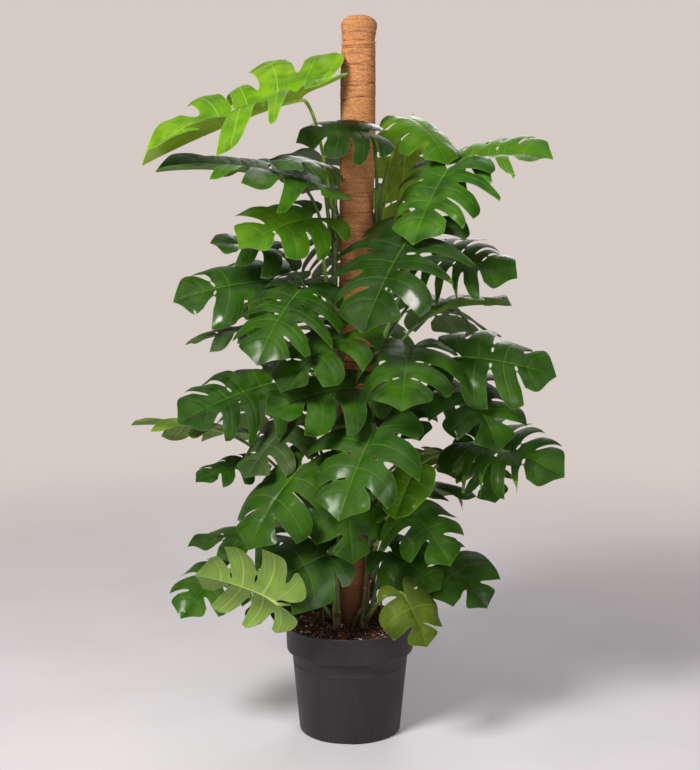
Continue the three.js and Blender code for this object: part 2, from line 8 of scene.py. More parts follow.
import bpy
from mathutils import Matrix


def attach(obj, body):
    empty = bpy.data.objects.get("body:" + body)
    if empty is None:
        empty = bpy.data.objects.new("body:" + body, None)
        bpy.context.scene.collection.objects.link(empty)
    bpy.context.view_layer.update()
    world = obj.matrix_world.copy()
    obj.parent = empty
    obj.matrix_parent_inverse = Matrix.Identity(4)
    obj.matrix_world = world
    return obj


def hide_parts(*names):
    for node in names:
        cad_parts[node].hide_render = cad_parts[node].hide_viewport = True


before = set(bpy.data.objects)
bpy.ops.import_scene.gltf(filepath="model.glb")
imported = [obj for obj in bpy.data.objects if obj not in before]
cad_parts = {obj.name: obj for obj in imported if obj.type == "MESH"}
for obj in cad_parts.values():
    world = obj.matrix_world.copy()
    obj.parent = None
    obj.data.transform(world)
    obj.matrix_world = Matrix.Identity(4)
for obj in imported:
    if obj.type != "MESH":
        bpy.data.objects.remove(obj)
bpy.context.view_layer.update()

# %% [markdown]
# ## The camera
#
# The photograph was taken from about three metres, a little above the middle of the plant, looking down
# by eight degrees. A long lens keeps the pole straight. The picture is 770 pixels high, and the lens is
# given by how many of those pixels one radian takes up.

# %% Camera
import math

import bpy
import numpy as np
from mathutils import Vector
from mathutils.geometry import delaunay_2d_cdt

PICTURE_HEIGHT = 770
PIXELS_PER_RADIAN = 1480
CAMERA_PLACE = (0, -3.0, 1.15)
CAMERA_PITCH = 8
SENSOR_WIDTH = 36


def add_object(name, data):
    """An object with this data, put into the scene."""
    made = bpy.data.objects.new(name, data)
    bpy.context.scene.collection.objects.link(made)
    return made


camera = add_object("camera", bpy.data.cameras.new("camera"))
camera.location = CAMERA_PLACE
camera.rotation_euler = (math.radians(90 - CAMERA_PITCH), 0, 0)
camera.data.sensor_width = SENSOR_WIDTH
camera.data.lens = SENSOR_WIDTH * PIXELS_PER_RADIAN / PICTURE_HEIGHT
bpy.context.scene.camera = camera
print("lens", round(camera.data.lens, 1), "mm")

# %% [markdown]
# ## The measures of the plant
#
# Stems and leaves grow from a few numbers. A stem stands round the pole at an angle, and the angle turns
# a little on the way up. A leaf is one row: the stem it grows from, the height of its foot, the joint
# between stalk and blade, the tip of the blade, and how the blade rolls, bends and folds. The rows are
# those of the part's own drawing, in millimetres and degrees.

# %% Measures
MM = 0.001
SOIL_EDGE = 220
POLE_OFFSET = 4
POLE_LEAN = 0.011
STEM_RADIUS = 9
STEM_TAPER = 2.5
STEM_FOOT = 130
STEM_RUNS = 10
STEM_OFFSET = 46.5
JOIN_GAP = 0.3
STALK_RADIUS = 3.6
STALK_FOOT_RADIUS = 5.5
STALK_SIDES = 10
STALK_RINGS = 23
BLADE_THICKNESS = 0.9
HALF_WIDTH = 0.62
WIDEST = 0.14
LAST_SPLIT = 0.8
LOBE_DROOP = 0.17
UP = np.array([0.0, 0.0, 1.0])

# Each stem: where it stands round the pole at its foot and at its head, in degrees, and its top.
STEMS = {
    "left": {"foot": -125, "head": -165, "top": 1120},
    "right": {"foot": -62, "head": -12, "top": 1140},
    "back_left": {"foot": 140, "head": 118, "top": 1060},
    "back_right": {"foot": 48, "head": 62, "top": 1080},
}
print(len(STEMS), "stems")

# %% Rows of leaves
# name, stem, height of its foot, joint, tip, roll, bend, fold, lobes in each half, kind
LEAVES = [
    ("leaf_top_left_young", "left", 1090, (-95, -95, 1300), (-400, -80, 1175), -16, 10, 37, 3, "young"),
    ("leaf_top_left_dark", "left", 995, (-95, -55, 1135), (-370, -115, 1160), -9, 25, 30, 3, "mid"),
    ("leaf_top_front", "right", 1055, (35, -120, 1235), (-100, -155, 1215), -30, 35, 15, 2, "dark"),
    ("leaf_top_front_low", "left", 1025, (-65, -70, 1180), (-135, -180, 1165), -15, 40, 5, 2, "mid"),
    ("leaf_top_right_arched", "back_right", 1045, (125, 10, 1265), (190, -80, 1175), 5, 40, 0, 2, "light"),
    # This leaf hangs with its underside to the front and takes the young leaves' paler skin: painted light
    # shining through the blade.
    ("leaf_top_right_hanging", "back_right", 985, (115, 105, 1195), (90, 85, 1035), 160, 15, 15, 2, "young"),
    ("leaf_top_right_long", "right", 1035, (225, 15, 1175), (395, -65, 1185), 25, 35, 30, 3, "light"),
    ("leaf_top_right_low", "right", 935, (190, -85, 1165), (120, -185, 1025), -5, 25, 15, 3, "mid"),
    ("leaf_centre_high", "right", 855, (115, -125, 1035), (25, -260, 865), 0, 20, 15, 3, "dark"),
    ("leaf_right_high", "right", 820, (165, -30, 995), (325, -100, 955), 33, 25, 15, 4, "mid"),
    ("leaf_right_edge_on", "right", 750, (170, -15, 880), (320, -60, 895), -2, 25, 35, 2, "mid"),
    ("leaf_right_round", "right", 690, (220, -110, 800), (400, -135, 765), 40, 25, 15, 2, "mid"),
    ("leaf_front_heart", "right", 660, (115, -140, 820), (95, -305, 725), 0, 30, 12, 2, "dark"),
    ("leaf_right_glossy", "right", 585, (230, -100, 740), (285, -200, 630), 9, 30, 12, 2, "dark"),
    ("leaf_right_far", "right", 490, (255, -50, 620), (420, -135, 565), 32, 30, 18, 4, "mid"),
    ("leaf_right_hanging", "right", 410, (265, -25, 605), (295, -50, 495), 35, 20, 15, 3, "mid"),
    ("leaf_right_behind", "back_right", 500, (155, 65, 580), (245, 175, 490), -5, 30, 15, 2, "olive"),
    ("leaf_right_inner", "back_right", 525, (100, -85, 705), (135, -175, 645), 20, 15, 20, 1, "dark"),
    ("leaf_centre_big", "right", 400, (45, -190, 665), (-20, -290, 515), -5, 20, 17, 2, "mid"),
    ("leaf_centre_young", "right", 380, (122, -130, 565), (88, -185, 490), 0, 15, 25, 0, "young"),
    ("leaf_right_low_inner", "right", 335, (115, -110, 500), (195, -185, 400), 20, 30, 15, 2, "mid"),
    ("leaf_right_low_round", "right", 300, (195, -45, 375), (275, -105, 290), 25, 25, 17, 1, "dark"),
    ("leaf_front_low", "right", 246, (105, -165, 335), (150, -200, 240), 30, 40, 12, 1, "olive"),
    ("leaf_front_low_dark", "right", 257, (85, -70, 395), (180, -110, 330), 40, 30, 10, 1, "dark"),
    ("leaf_left_high", "left", 895, (-75, -50, 1070), (-210, -150, 1015), -27, 30, 23, 2, "light"),
    ("leaf_left_up", "left", 795, (-145, -5, 1005), (-275, -55, 1020), -25, 15, 15, 2, "dark"),
    ("leaf_left_far_high", "left", 750, (-160, 35, 940), (-355, -5, 900), -35, 25, 20, 2, "mid"),
    ("leaf_left_edge_on", "left", 690, (-180, 60, 840), (-340, 55, 805), -3, 15, 20, 2, "grey"),
    ("leaf_left_big", "left", 730, (-100, -110, 930), (-175, -220, 800), -13, 35, 10, 3, "dark"),
    ("leaf_left_inner", "left", 640, (-15, -115, 845), (-130, -205, 745), -12, 30, 20, 2, "dark"),
    ("leaf_left_mid", "left", 560, (10, -125, 740), (-160, -190, 700), -25, 30, 15, 2, "dark"),
    ("leaf_left_wide", "left", 510, (-160, -15, 735), (-340, -95, 665), -25, 20, 15, 3, "dark"),
    ("leaf_left_pale_tip", "back_left", 390, (-260, 50, 625), (-455, 60, 635), 13, 15, 25, 2, "pale"),
    ("leaf_left_low_tip", "left", 415, (-210, -10, 570), (-310, -65, 540), -10, 20, 15, 2, "dark"),
    ("leaf_left_grey", "left", 460, (-125, -60, 660), (-205, -140, 565), -10, 15, 10, 2, "grey"),
    ("leaf_left_low_big", "left", 365, (-95, -120, 585), (-195, -195, 435), -12, 30, 12, 2, "mid"),
    ("leaf_left_low_far", "left", 300, (-155, 0, 415), (-330, -40, 400), -5, 25, 15, 2, "dark"),
    ("leaf_left_low_pale", "left", 280, (-145, -200, 330), (-300, -195, 380), 63, 30, 30, 2, "pale"),
    ("leaf_front_small", "left", 400, (-10, -115, 525), (5, -170, 400), -5, 20, 10, 1, "dark"),
    ("leaf_left_low_front", "left", 256, (-50, -130, 405), (-180, -165, 335), -40, 30, 5, 1, "dark"),
    ("leaf_left_low_behind", "back_left", 261, (-255, -20, 345), (-340, -110, 270), -15, 40, 20, 2, "mid"),
    ("leaf_left_low_drop", "left", 250, (-120, -75, 330), (-205, -110, 255), -10, 35, 15, 1, "dark"),
    ("leaf_back_top", "back_left", 1000, (-55, 110, 1190), (-105, 285, 1115), 10, 30, 15, 2, "dark"),
    ("leaf_back_high", "back_right", 880, (0, 140, 1025), (15, 335, 930), -5, 10, 5, 3, "dark"),
    ("leaf_back_left_high", "back_left", 810, (-95, 115, 930), (-225, 240, 840), 0, 15, 25, 2, "dark"),
    ("leaf_back_right_high", "back_right", 730, (150, 135, 900), (250, 280, 795), 0, 35, 10, 2, "dark"),
    ("leaf_back_mid", "back_left", 620, (0, 155, 835), (-60, 355, 710), 10, 25, 25, 3, "dark"),
    ("leaf_back_right_mid", "back_right", 560, (140, 120, 710), (280, 225, 635), 5, 25, 10, 2, "dark"),
    ("leaf_back_left_mid", "back_left", 490, (-135, 155, 680), (-245, 295, 570), 15, 30, 20, 2, "dark"),
    ("leaf_back_low_right", "back_right", 265, (130, 150, 490), (195, 325, 420), 10, 45, 20, 2, "dark"),
    ("leaf_back_low_left", "back_left", 290, (-95, 140, 445), (-185, 290, 350), 5, 30, 15, 2, "dark"),
]
print(len(LEAVES), "leaves")


# %% Where a stem runs
def chance(number, use):
    """A repeatable number from 0 to 1 for a leaf's number and what it is used for."""
    wave = math.sin(number * 12.9898 + use * 78.233) * 43758.5453
    return wave - math.floor(wave)


def pole_x(z):
    return POLE_OFFSET + (z - SOIL_EDGE) * POLE_LEAN


def stem_curve(stem, z):
    """The smooth line of a stem as it turns round the pole."""
    climb = min(max((z - SOIL_EDGE) / (stem["top"] - SOIL_EDGE), 0), 1) ** 0.6
    angle = math.radians(stem["foot"] + (stem["head"] - stem["foot"]) * climb)
    angle += math.radians(3) * math.sin(z / 70 + stem["foot"])
    return np.array([pole_x(z) + STEM_OFFSET * math.cos(angle), STEM_OFFSET * math.sin(angle), z])


def stem_at(stem, z):
    """The stem's axis at a height, straight between evenly spaced points of its curve."""
    run = (stem["top"] - STEM_FOOT) / STEM_RUNS
    below = STEM_FOOT + run * min(STEM_RUNS - 1, math.floor((z - STEM_FOOT) / run))
    start, end = stem_curve(stem, below), stem_curve(stem, below + run)
    return start + (end - start) * (z - below) / run


def from_pole(place):
    """The level way out from the pole at a place, with length 1."""
    out = (place - [pole_x(place[2]), 0, place[2]]) * [1, 1, 0]
    return out / np.linalg.norm(out)


def stem_radius(stem, z):
    return STEM_RADIUS - STEM_TAPER * (z - STEM_FOOT) / (stem["top"] - STEM_FOOT)


print("stem heads", [stem_at(stem, stem["top"]).round().tolist() for stem in STEMS.values()])

# %% [markdown]
# ## Making pieces
#
# Every piece goes through the same few steps: a mesh from points and faces, smooth shading with real
# edges kept sharp, its materials, the body it rides on, and the part of the frame that it stands for.
# One helper does all of that, so that no piece misses a step.


# %% Helpers for pieces
def new_mesh(name, points, faces):
    """A mesh from points in millimetres."""
    mesh = bpy.data.meshes.new(name)
    mesh.from_pydata((np.asarray(points) * MM).tolist(), [], faces)
    return mesh


def make_piece(name, points, faces, materials, slot, replaces=(), sharp=45, face_materials=None):
    """A piece on the body root. Edges over the sharp angle, in degrees, are not smoothed."""
    mesh = new_mesh(name, points, faces)
    mesh.shade_smooth()
    mesh.set_sharp_from_angle(angle=math.radians(sharp))
    for material in materials:
        mesh.materials.append(material)
    if face_materials is not None:
        mesh.polygons.foreach_set("material_index", face_materials)
    piece = add_object(name, mesh)
    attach(piece, "root")
    if replaces:
        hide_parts(*replaces)
    return piece


def point_values(piece, name, values):
    """Lets the mesh carry a value at each point, for its material."""
    attribute = piece.data.attributes.new(name, "FLOAT", "POINT")
    attribute.data.foreach_set("value", np.asarray(values, np.float32))


def unit(vector):
    return vector / np.linalg.norm(vector)


def turns(count):
    """Evenly spaced angles of a full turn."""
    return np.linspace(0, 2 * math.pi, count, endpoint=False)


def circle(radius, angles, z, x=0.0):
    """Points round an upright axis. The radius, height and axis can change from point to point."""
    return np.stack([x + radius * np.cos(angles), radius * np.sin(angles), z + 0 * angles], 1)


def joined(bodies):
    """The points and faces of several bodies as one."""
    points, faces, first = [], [], 0
    for places, corners in bodies:
        points.append(places)
        faces += [tuple(first + corner for corner in face) for face in corners]
        first += len(places)
    return np.concatenate(points), faces


def bands(rings):
    """Faces between rings, each a row of point numbers. A ring can be one point, said over and over."""
    faces = []
    for low, high in zip(rings, rings[1:]):
        for k in range(len(low)):
            after = (k + 1) % len(low)
            faces.append(tuple(dict.fromkeys([low[k], low[after], high[after], high[k]])))
    return faces


def tube(places, radii, sides, closed=False, shape=None):
    """Points and faces of a tube. shape(angles) can change the radius round each ring."""
    places = np.asarray(places, float)
    steps = np.gradient(places, axis=0) if not closed else np.roll(places, -1, 0) - np.roll(places, 1, 0)
    along = steps / np.linalg.norm(steps, axis=1)[:, None]
    across = np.array([1, 0.3, 0.1])
    angles = turns(sides)
    points = []
    for i, (place, direction) in enumerate(zip(places, along)):
        across = unit(across - direction * across.dot(direction))
        other = np.cross(direction, across)
        radius = radii[i] * (shape(angles) if shape else np.ones(sides))
        ring = np.outer(radius * np.cos(angles), across) + np.outer(radius * np.sin(angles), other)
        points.append(place + ring)
    rings = [range(first, first + sides) for first in range(0, len(places) * sides, sides)]
    if closed:
        return np.concatenate(points), bands([*rings, rings[0]])
    return np.concatenate(points), [*bands(rings), tuple(reversed(rings[0])), tuple(rings[-1])]


# %% [markdown]
# ## Shader groups
#
# Several finishes need the same few effects, so each effect is a node group made once: soft blotches that
# keep a surface from being one flat colour, fine grit for the bump, and dust that gathers on what faces
# up. The groups only put out masks, colours and heights. The shader itself stays in each material.


# %% Node helpers
class Signal:
    """What a node puts out. It can be added, subtracted, multiplied and divided like a number."""

    def __init__(self, socket):
        self.socket = socket
        self.tree = socket.id_data

    def __add__(self, other):
        return calculate("ADD", self, other)

    def __sub__(self, other):
        return calculate("SUBTRACT", self, other)

    def __rsub__(self, other):
        return calculate("SUBTRACT", other, self)

    def __mul__(self, other):
        return calculate("MULTIPLY", self, other)

    def __truediv__(self, other):
        return calculate("DIVIDE", self, other)


def join(value, socket):
    value.tree.links.new(value.socket, socket)


def node(tree, kind, links=None, **settings):
    """A new node. links gives its inputs by name or number: a signal to join, or a value to set."""
    made = tree.nodes.new("ShaderNode" + kind)
    for name, value in settings.items():
        setattr(made, name, value)
    for name, value in (links or {}).items():
        if isinstance(value, Signal):
            join(value, made.inputs[name])
        else:
            made.inputs[name].default_value = value
    return made


def signal(tree, kind, output, links=None, **settings):
    """One output of a new node, by its name or number."""
    return Signal(node(tree, kind, links, **settings).outputs[output])


def calculate(operation, a, b=0.0):
    tree = (a if isinstance(a, Signal) else b).tree
    return signal(tree, "Math", 0, {0: a, 1: b}, operation=operation)


def mix_colour(share, first, second):
    """The first colour where the share is 0, the second where it is 1."""
    return signal(share.tree, "Mix", 2, {0: share, 6: first, 7: second}, data_type="RGBA")


def ramp(value, low, high):
    """0 where the value is low, 1 where it is high, smooth between."""
    links = {"Value": value, "From Min": low, "From Max": high}
    return signal(value.tree, "MapRange", 0, links, interpolation_type="SMOOTHSTEP")


def object_place(tree):
    return signal(tree, "TexCoord", "Object")


def object_height(tree):
    return signal(tree, "SeparateXYZ", "Z", {0: object_place(tree)})


def stretched(tree, along):
    """The place on the piece with its height scaled, for marks that run round it or up it."""
    return signal(tree, "Mapping", 0, {"Vector": object_place(tree), "Scale": (1, 1, along)})


def carried(tree, name):
    """A value that the mesh carries at its points."""
    return signal(tree, "Attribute", "Fac", attribute_name=name)


def noise(tree, scale, detail=4.0, vector=None, rough=0.5):
    vector = object_place(tree) if vector is None else vector
    links = {"Scale": scale, "Detail": detail, "Roughness": rough, "Vector": vector}
    return signal(tree, "TexNoise", 0, links)


# %% Groups for blotches, grit and dust
def new_group(name, inputs, outputs, build):
    """A group with named inputs and outputs. The build function makes the outputs from the inputs."""
    group = bpy.data.node_groups.new(name, "ShaderNodeTree")
    for socket_name, kind, value in inputs:
        socket = group.interface.new_socket(socket_name, in_out="INPUT", socket_type="NodeSocket" + kind)
        socket.default_value = value
    for socket_name, kind in outputs:
        group.interface.new_socket(socket_name, in_out="OUTPUT", socket_type="NodeSocket" + kind)
    given = group.nodes.new("NodeGroupInput").outputs
    put = group.nodes.new("NodeGroupOutput").inputs
    made = build(group, *(Signal(socket) for socket in given[:len(inputs)]))
    for value, socket in zip(made, put):
        join(value, socket)
    return group


def build_blotches(group, colour, dark, scale, amount):
    mask = ramp(noise(group, scale, 5.0), 0.35, 0.7) * amount
    return mix_colour(mask, colour, dark), mask


def build_grit(group, scale, coarse):
    return [noise(group, scale, 3.0) * 0.4 + noise(group, coarse, 4.0)]


def build_dust(group, amount):
    normal = signal(group, "NewGeometry", "Normal")
    upward = ramp(signal(group, "SeparateXYZ", "Z", {0: normal}), 0.1, 0.95)
    return [upward * ramp(noise(group, 35.0, 6.0), 0.38, 0.66) * amount]


BLOTCHES = new_group(
    "blotches",
    [("Colour", "Color", (0.5, 0.5, 0.5, 1)), ("Dark", "Color", (0.2, 0.2, 0.2, 1)),
     ("Scale", "Float", 20.0), ("Amount", "Float", 0.5)],
    [("Colour", "Color"), ("Mask", "Float")],
    build_blotches,
)
GRIT = new_group(
    "grit", [("Scale", "Float", 900.0), ("Coarse", "Float", 120.0)], [("Height", "Float")], build_grit
)
DUST = new_group("dust", [("Amount", "Float", 0.3)], [("Mask", "Float")], build_dust)


def use_group(tree, group, **values):
    """The outputs of a group with these values or signals given to it."""
    return [Signal(socket) for socket in node(tree, "Group", values, node_tree=group).outputs]


def blotches(tree, colour, dark, scale, amount):
    """The blotched colour, and the mask of its dark patches."""
    return use_group(tree, BLOTCHES, Colour=colour, Dark=dark, Scale=scale, Amount=amount)


def grit(tree, fine, coarse):
    return use_group(tree, GRIT, Scale=fine, Coarse=coarse)[0]


def dust(tree, amount):
    return use_group(tree, DUST, Amount=amount)[0]


def rgb(red, green, blue):
    """A colour as it is seen on a screen, from 0 to 255, as the linear values that a shader takes."""
    linear = [(c / 255 / 12.92) if c < 10 else ((c / 255 + 0.055) / 1.055) ** 2.4 for c in (red, green, blue)]
    return (*linear, 1)


def new_material(name, roughness=0.5, coat=0.0, specular=0.5):
    material = bpy.data.materials.new(name)
    material.use_nodes = True
    tree = material.node_tree
    shader = tree.nodes["Principled BSDF"]
    shader.inputs["Roughness"].default_value = roughness
    shader.inputs["Coat Weight"].default_value = coat
    shader.inputs["Specular IOR Level"].default_value = specular
    return material, tree, shader


def add_bump(shader, height, strength, distance):
    links = {"Height": height, "Strength": strength, "Distance": distance}
    join(signal(height.tree, "Bump", 0, links), shader.inputs["Normal"])


def dress(shader, colour, roughness, height, strength, distance):
    """Joins a colour, a roughness and a bump to the shader."""
    join(colour, shader.inputs["Base Color"])
    join(roughness, shader.inputs["Roughness"])
    add_bump(shader, height, strength, distance)


print("groups", [group.name for group in bpy.data.node_groups])

# %% [markdown]
# ## Leaf skins
#
# A swiss cheese leaf is glossy and dark above, with a pale midrib and pale side veins that run out into
# the lobes. The underside is paler and dull. The blade carries its own map: across it the number of the
# side vein, along it the way out from midrib to margin. With that map a vein is simply where the number
# passes a half, so the veins follow every lobe and stay sharp without a picture.


# %% The vein group
def uv_pair(tree, name):
    """The two numbers that a map of the mesh carries."""
    parts = node(tree, "SeparateXYZ", {0: signal(tree, "UVMap", 0, uv_map=name)})
    return Signal(parts.outputs["X"]), Signal(parts.outputs["Y"])


def to_nearest_half(value):
    """How far a value lies from the last half before or after it."""
    return calculate("ABSOLUTE", calculate("FRACT", value) - 0.5)


def build_veins(group, width):
    """Masks of the main veins, the fine veins and the margin, and the height of all for a bump."""
    number, out = uv_pair(group, "veins")
    across, along = uv_pair(group, "blade")
    off = to_nearest_half(number)
    side = 1.0 - ramp(off / (width * (1.0 - out * 0.75)), 0.55, 1.3)
    rib = 1.0 - ramp(calculate("ABSOLUTE", across) / ((1.15 - along) * 0.0095), 0.6, 1.2)
    faint = 0.75 - ramp(along, 0.5, 0.9) * 0.4
    main = calculate("MAXIMUM", side * faint, rib)
    branch = to_nearest_half(number * 7.0 + noise(group, 60.0, 2.0) * 0.25)
    fading = 1.0 - ramp(along, 0.55, 0.85)
    fine = (1.0 - ramp(branch, 0.02, 0.2)) * fading
    rim = 1.0 - ramp(carried(group, "edge"), 0.3, 1.3)
    return main, fine, rim, fine * 0.25 + (1.0 - ramp(off, 0.0, 0.16))


VEINS = new_group(
    "veins",
    [("Width", "Float", 0.03)],
    [("Main", "Float"), ("Fine", "Float"), ("Edge", "Float"), ("Height", "Float")],
    build_veins,
)
print("group", VEINS.name)


# %% Leaf materials
def leaf_top(name, colour, fresh, deep, vein, roughness):
    material, tree, shader = new_material(name, roughness, specular=0.16)
    shader.inputs["Coat Roughness"].default_value = 0.2
    shader.inputs["Specular Tint"].default_value = (0.85, 1.0, 0.6, 1)
    main, fine, rim, raised = use_group(tree, VEINS, Width=0.018)
    tone = carried(tree, "tone")
    young, _ = blotches(tree, fresh, colour, 5.0, 1.0)
    base, mask = blotches(tree, young, deep, 22.0, 0.8)
    skin = mix_colour(tone, base, deep)
    for part, amount in ((fine, 0.04), (main, 0.5), (rim, 0.45)):
        skin = mix_colour(part * amount, skin, vein)
    dusty = mix_colour(dust(tree, 0.03), skin, rgb(190, 190, 175))
    wax = ramp(noise(tree, 12.0, 2.0), 0.42, 0.62)
    join(wax * (tone * 0.7 + 0.08), shader.inputs["Coat Weight"])
    height = grit(tree, 1500.0, 52.0) * 1.6 - raised
    dress(shader, dusty, mask * 0.12 + main * 0.2 + roughness, height, 0.5, 0.002)
    return material


def leaf_under(name, colour, deep, vein):
    material, tree, shader = new_material(name, 0.6)
    main, fine, _, _ = use_group(tree, VEINS, Width=0.05)
    base, mask = blotches(tree, colour, deep, 30.0, 0.6)
    lined = mix_colour(main * 0.85, mix_colour(fine * 0.2, base, vein), vein)
    height = grit(tree, 1200.0, 220.0) * 0.5 + main
    dress(shader, lined, mask * 0.15 + 0.55, height, 0.45, 0.001)
    return material


def stalk_skin(name, colour, deep, knee):
    material, tree, shader = new_material(name, 0.42, coat=0.1)
    base, _ = blotches(tree, colour, deep, 45.0, 0.8)
    reach = carried(tree, "reach")
    ripe = mix_colour(ramp(reach, 0.9, 0.97), base, knee)
    skin = mix_colour(ramp(reach, 0.14, 0.0), ripe, deep)
    spots = grit(tree, 1400.0, 300.0)
    dress(shader, skin, spots * 0.25 + 0.28, spots, 0.3, 0.0006)
    return material


# Each kind of leaf: colour of the top, its deep shade, the veins, the underside, and the top's roughness.
LEAF_KINDS = {
    "young": ((88, 138, 14), (60, 106, 8), (178, 204, 84), (158, 198, 50), 0.38),
    "light": ((78, 126, 12), (44, 90, 5), (132, 168, 52), (124, 164, 38), 0.38),
    "mid": ((46, 92, 9), (20, 54, 3), (98, 136, 40), (88, 124, 34), 0.36),
    "dark": ((35, 76, 7), (12, 38, 2), (82, 120, 36), (76, 110, 30), 0.33),
    "grey": ((56, 82, 40), (24, 48, 20), (98, 130, 70), (94, 122, 58), 0.30),
    "olive": ((62, 86, 20), (36, 58, 8), (112, 134, 52), (100, 124, 44), 0.45),
    "pale": ((96, 130, 38), (62, 94, 18), (146, 170, 76), (106, 136, 48), 0.5),
}
LEAF_SKINS = {}
for kind, (colour, deep, vein, under, roughness) in LEAF_KINDS.items():
    fresh = (round(1.35 * colour[0] + 6), round(1.16 * colour[1] + 6), round(0.8 * colour[2]))
    darker = tuple(round(0.8 * value) for value in under)
    stalk = tuple(round(0.85 * a + 0.15 * b) for a, b in zip(vein, colour))
    stalk_foot = tuple(round(0.6 * value) for value in stalk)
    LEAF_SKINS[kind] = [
        leaf_top(f"{kind}_leaf_top", rgb(*colour), rgb(*fresh), rgb(*deep), rgb(*vein), roughness),
        leaf_under(f"{kind}_leaf_underside", rgb(*under), rgb(*darker), rgb(*vein)),
        stalk_skin(f"{kind}_stalk", rgb(*stalk), rgb(*stalk_foot), rgb(*vein)),
    ]
print(3 * len(LEAF_SKINS), "leaf materials")

# %% [markdown]
# ## The outline of a blade
#
# A blade is drawn flat first. Across it s runs from the midrib, along it t runs from the joint at 0 to the
# tip at 1. The young blade is a heart. As it grows, slots open between the side veins and tear through to
# the margin, so each lobe follows one side vein. The splits are drawn as long drops with a round inner
# end, and the lobe ends as smooth curves with one sharp corner, which points to the tip.

# %% Outline of a half
# The round lobe beside the joint.
EAR = [(0.05, -0.06), (0.1, -0.2), (0.22, -0.3), (0.38, -0.27), (0.51, -0.13)]


def margin(t):
    """Half the width of the heart at t."""
    rest = 1 - ((t - WIDEST) / (0.9 if t > WIDEST else 0.56)) ** 2
    return HALF_WIDTH * max(rest, 0.02) ** 0.62


def between(start, end, share):
    return start[0] + (end[0] - start[0]) * share, start[1] + (end[1] - start[1]) * share


def find_splits(number, hand, lobes):
    """The splits of one half. The last one is the lower side of the end lobe."""
    shift = 50 if hand > 0 else 0
    splits = []
    for i in range(lobes + 1):
        even = 0.02 + (LAST_SPLIT - 0.02) * (i / lobes) ** 0.95
        splits.append({
            "t": even + 0.09 * (chance(number, i + 40 + shift) - 0.5),
            "root": (0, 0.03 + 0.68 * even),
            "start": 0.24 + 0.24 * chance(number, i + shift),
            "open": 0.03 + 0.06 * chance(number, i + 10 + shift),
        })
    return splits


def in_split(split, share, side):
    """A point a share of the way out along a split: on its line, or on one side of its gap."""
    s, along = between(split["root"], (margin(split["t"]), split["t"]), share)
    gap = split["open"] * max(0, (share - split["start"]) / (1 - split["start"])) ** 0.5
    return s, along - 0.16 * share * (1 - share) + side * gap


def split_edge(split, outer, side, steps=9):
    """Points along one side of a split, from its round inner end out to a share of its length."""
    reach = outer - split["start"]
    return [in_split(split, split["start"] + reach * (k / steps) ** 2, side) for k in range(steps + 1)]


def smooth(points, steps=5):
    """A smooth curve through the points, which are given as pairs."""
    given = np.array([points[0], *points, points[-1]], float)
    given[0] = 2 * given[1] - given[2]
    given[-1] = 2 * given[-2] - given[-3]
    curve = []
    for before, start, end, after in zip(given, given[1:], given[2:], given[3:]):
        for k in range(steps):
            u = k / steps
            curve.append(
                0.5 * (2 * start + (end - before) * u + (2 * before - 5 * start + 4 * end - after) * u * u
                       + (3 * start - before - 3 * end + after) * u ** 3)
            )
    return [tuple(point) for point in curve] + [tuple(points[-1])]


def half_outline(number, hand, lobes):
    """The margin of one half, from the joint round to the tip."""
    shift = 50 if hand > 0 else 0
    if lobes == 0:
        sides = [(margin(t) * 0.9, t) for t in (0.1, 0.4, 0.66, 0.87)]
        return smooth([(0, 0), *EAR, *sides, (0, 1)], 8)
    splits = find_splits(number, hand, lobes)
    first = split_edge(splits[0], 0.82, -1)
    line = smooth([(0, 0), *EAR, first[-1]], 6) + first[-2::-1]
    for i in range(1, lobes + 1):
        lower, upper = splits[i - 1], splits[i]
        root = between(lower["root"], upper["root"], 0.5)

        def on_margin(share, reach):
            low, high = lower["t"] + lower["open"], upper["t"] - upper["open"]
            t = low + (high - low) * share
            return between(root, (margin(t), t), reach)

        out = split_edge(lower, 0.7, 1)
        corner = on_margin(0.08, 0.93)
        end = on_margin(0.5, 1.03 + 0.05 * chance(number, i + 20 + shift))
        apex = on_margin(0.95, 1.03 + 0.1 * chance(number, i + 30 + shift))
        back = split_edge(upper, 0.8, -1)
        line += out[1:-1] + smooth([out[-1], corner, end, apex])
        line += smooth([apex, between(apex, back[-1], 0.45), back[-1]], 3)[1:-1] + back[::-1]
    out = split_edge(splits[-1], 0.7, 1)
    cheek, lip = (margin(0.88) * 0.95, 0.86), (margin(0.96) * 0.6, 0.95)
    return line + out[1:-1] + smooth([out[-1], cheek, lip, (0, 1.02)])


print("outline points of a half", len(half_outline(3, 1, 4)))

# %% [markdown]
# ## The flat net of a blade
#
# The outline is filled with triangles. Loose points on an even grid keep them small, so that the blade
# can bend smoothly, three rows along the midrib carry its ridge, and small slots near the midrib are left
# open. Each point also learns which side vein it is near and how far out it lies, for the skin's map.


# %% Points and polygons
def inside(points, polygon):
    """Which points lie inside the polygon, by counting the sides to their right."""
    x, y = points[:, 0, None], points[:, 1, None]
    x1, y1 = polygon[:, 0], polygon[:, 1]
    x2, y2 = np.roll(x1, -1), np.roll(y1, -1)
    crosses = (y1 > y) != (y2 > y)
    rise = np.where(y2 == y1, 1e-12, y2 - y1)
    return (crosses & (x < (x2 - x1) * (y - y1) / rise + x1)).sum(1) % 2 == 1


def distance_to(points, polygon):
    """How far each point lies from the polygon's sides."""
    start = polygon
    side = np.roll(polygon, -1, 0) - start
    gap = points[:, None, :] - start[None]
    share = np.clip((gap * side).sum(2) / np.maximum((side ** 2).sum(1), 1e-12), 0, 1)
    return np.linalg.norm(gap - share[..., None] * side, axis=2).min(1)


# %% Filling the outline
NET_STEP = 7.0
RIDGE = 0.014


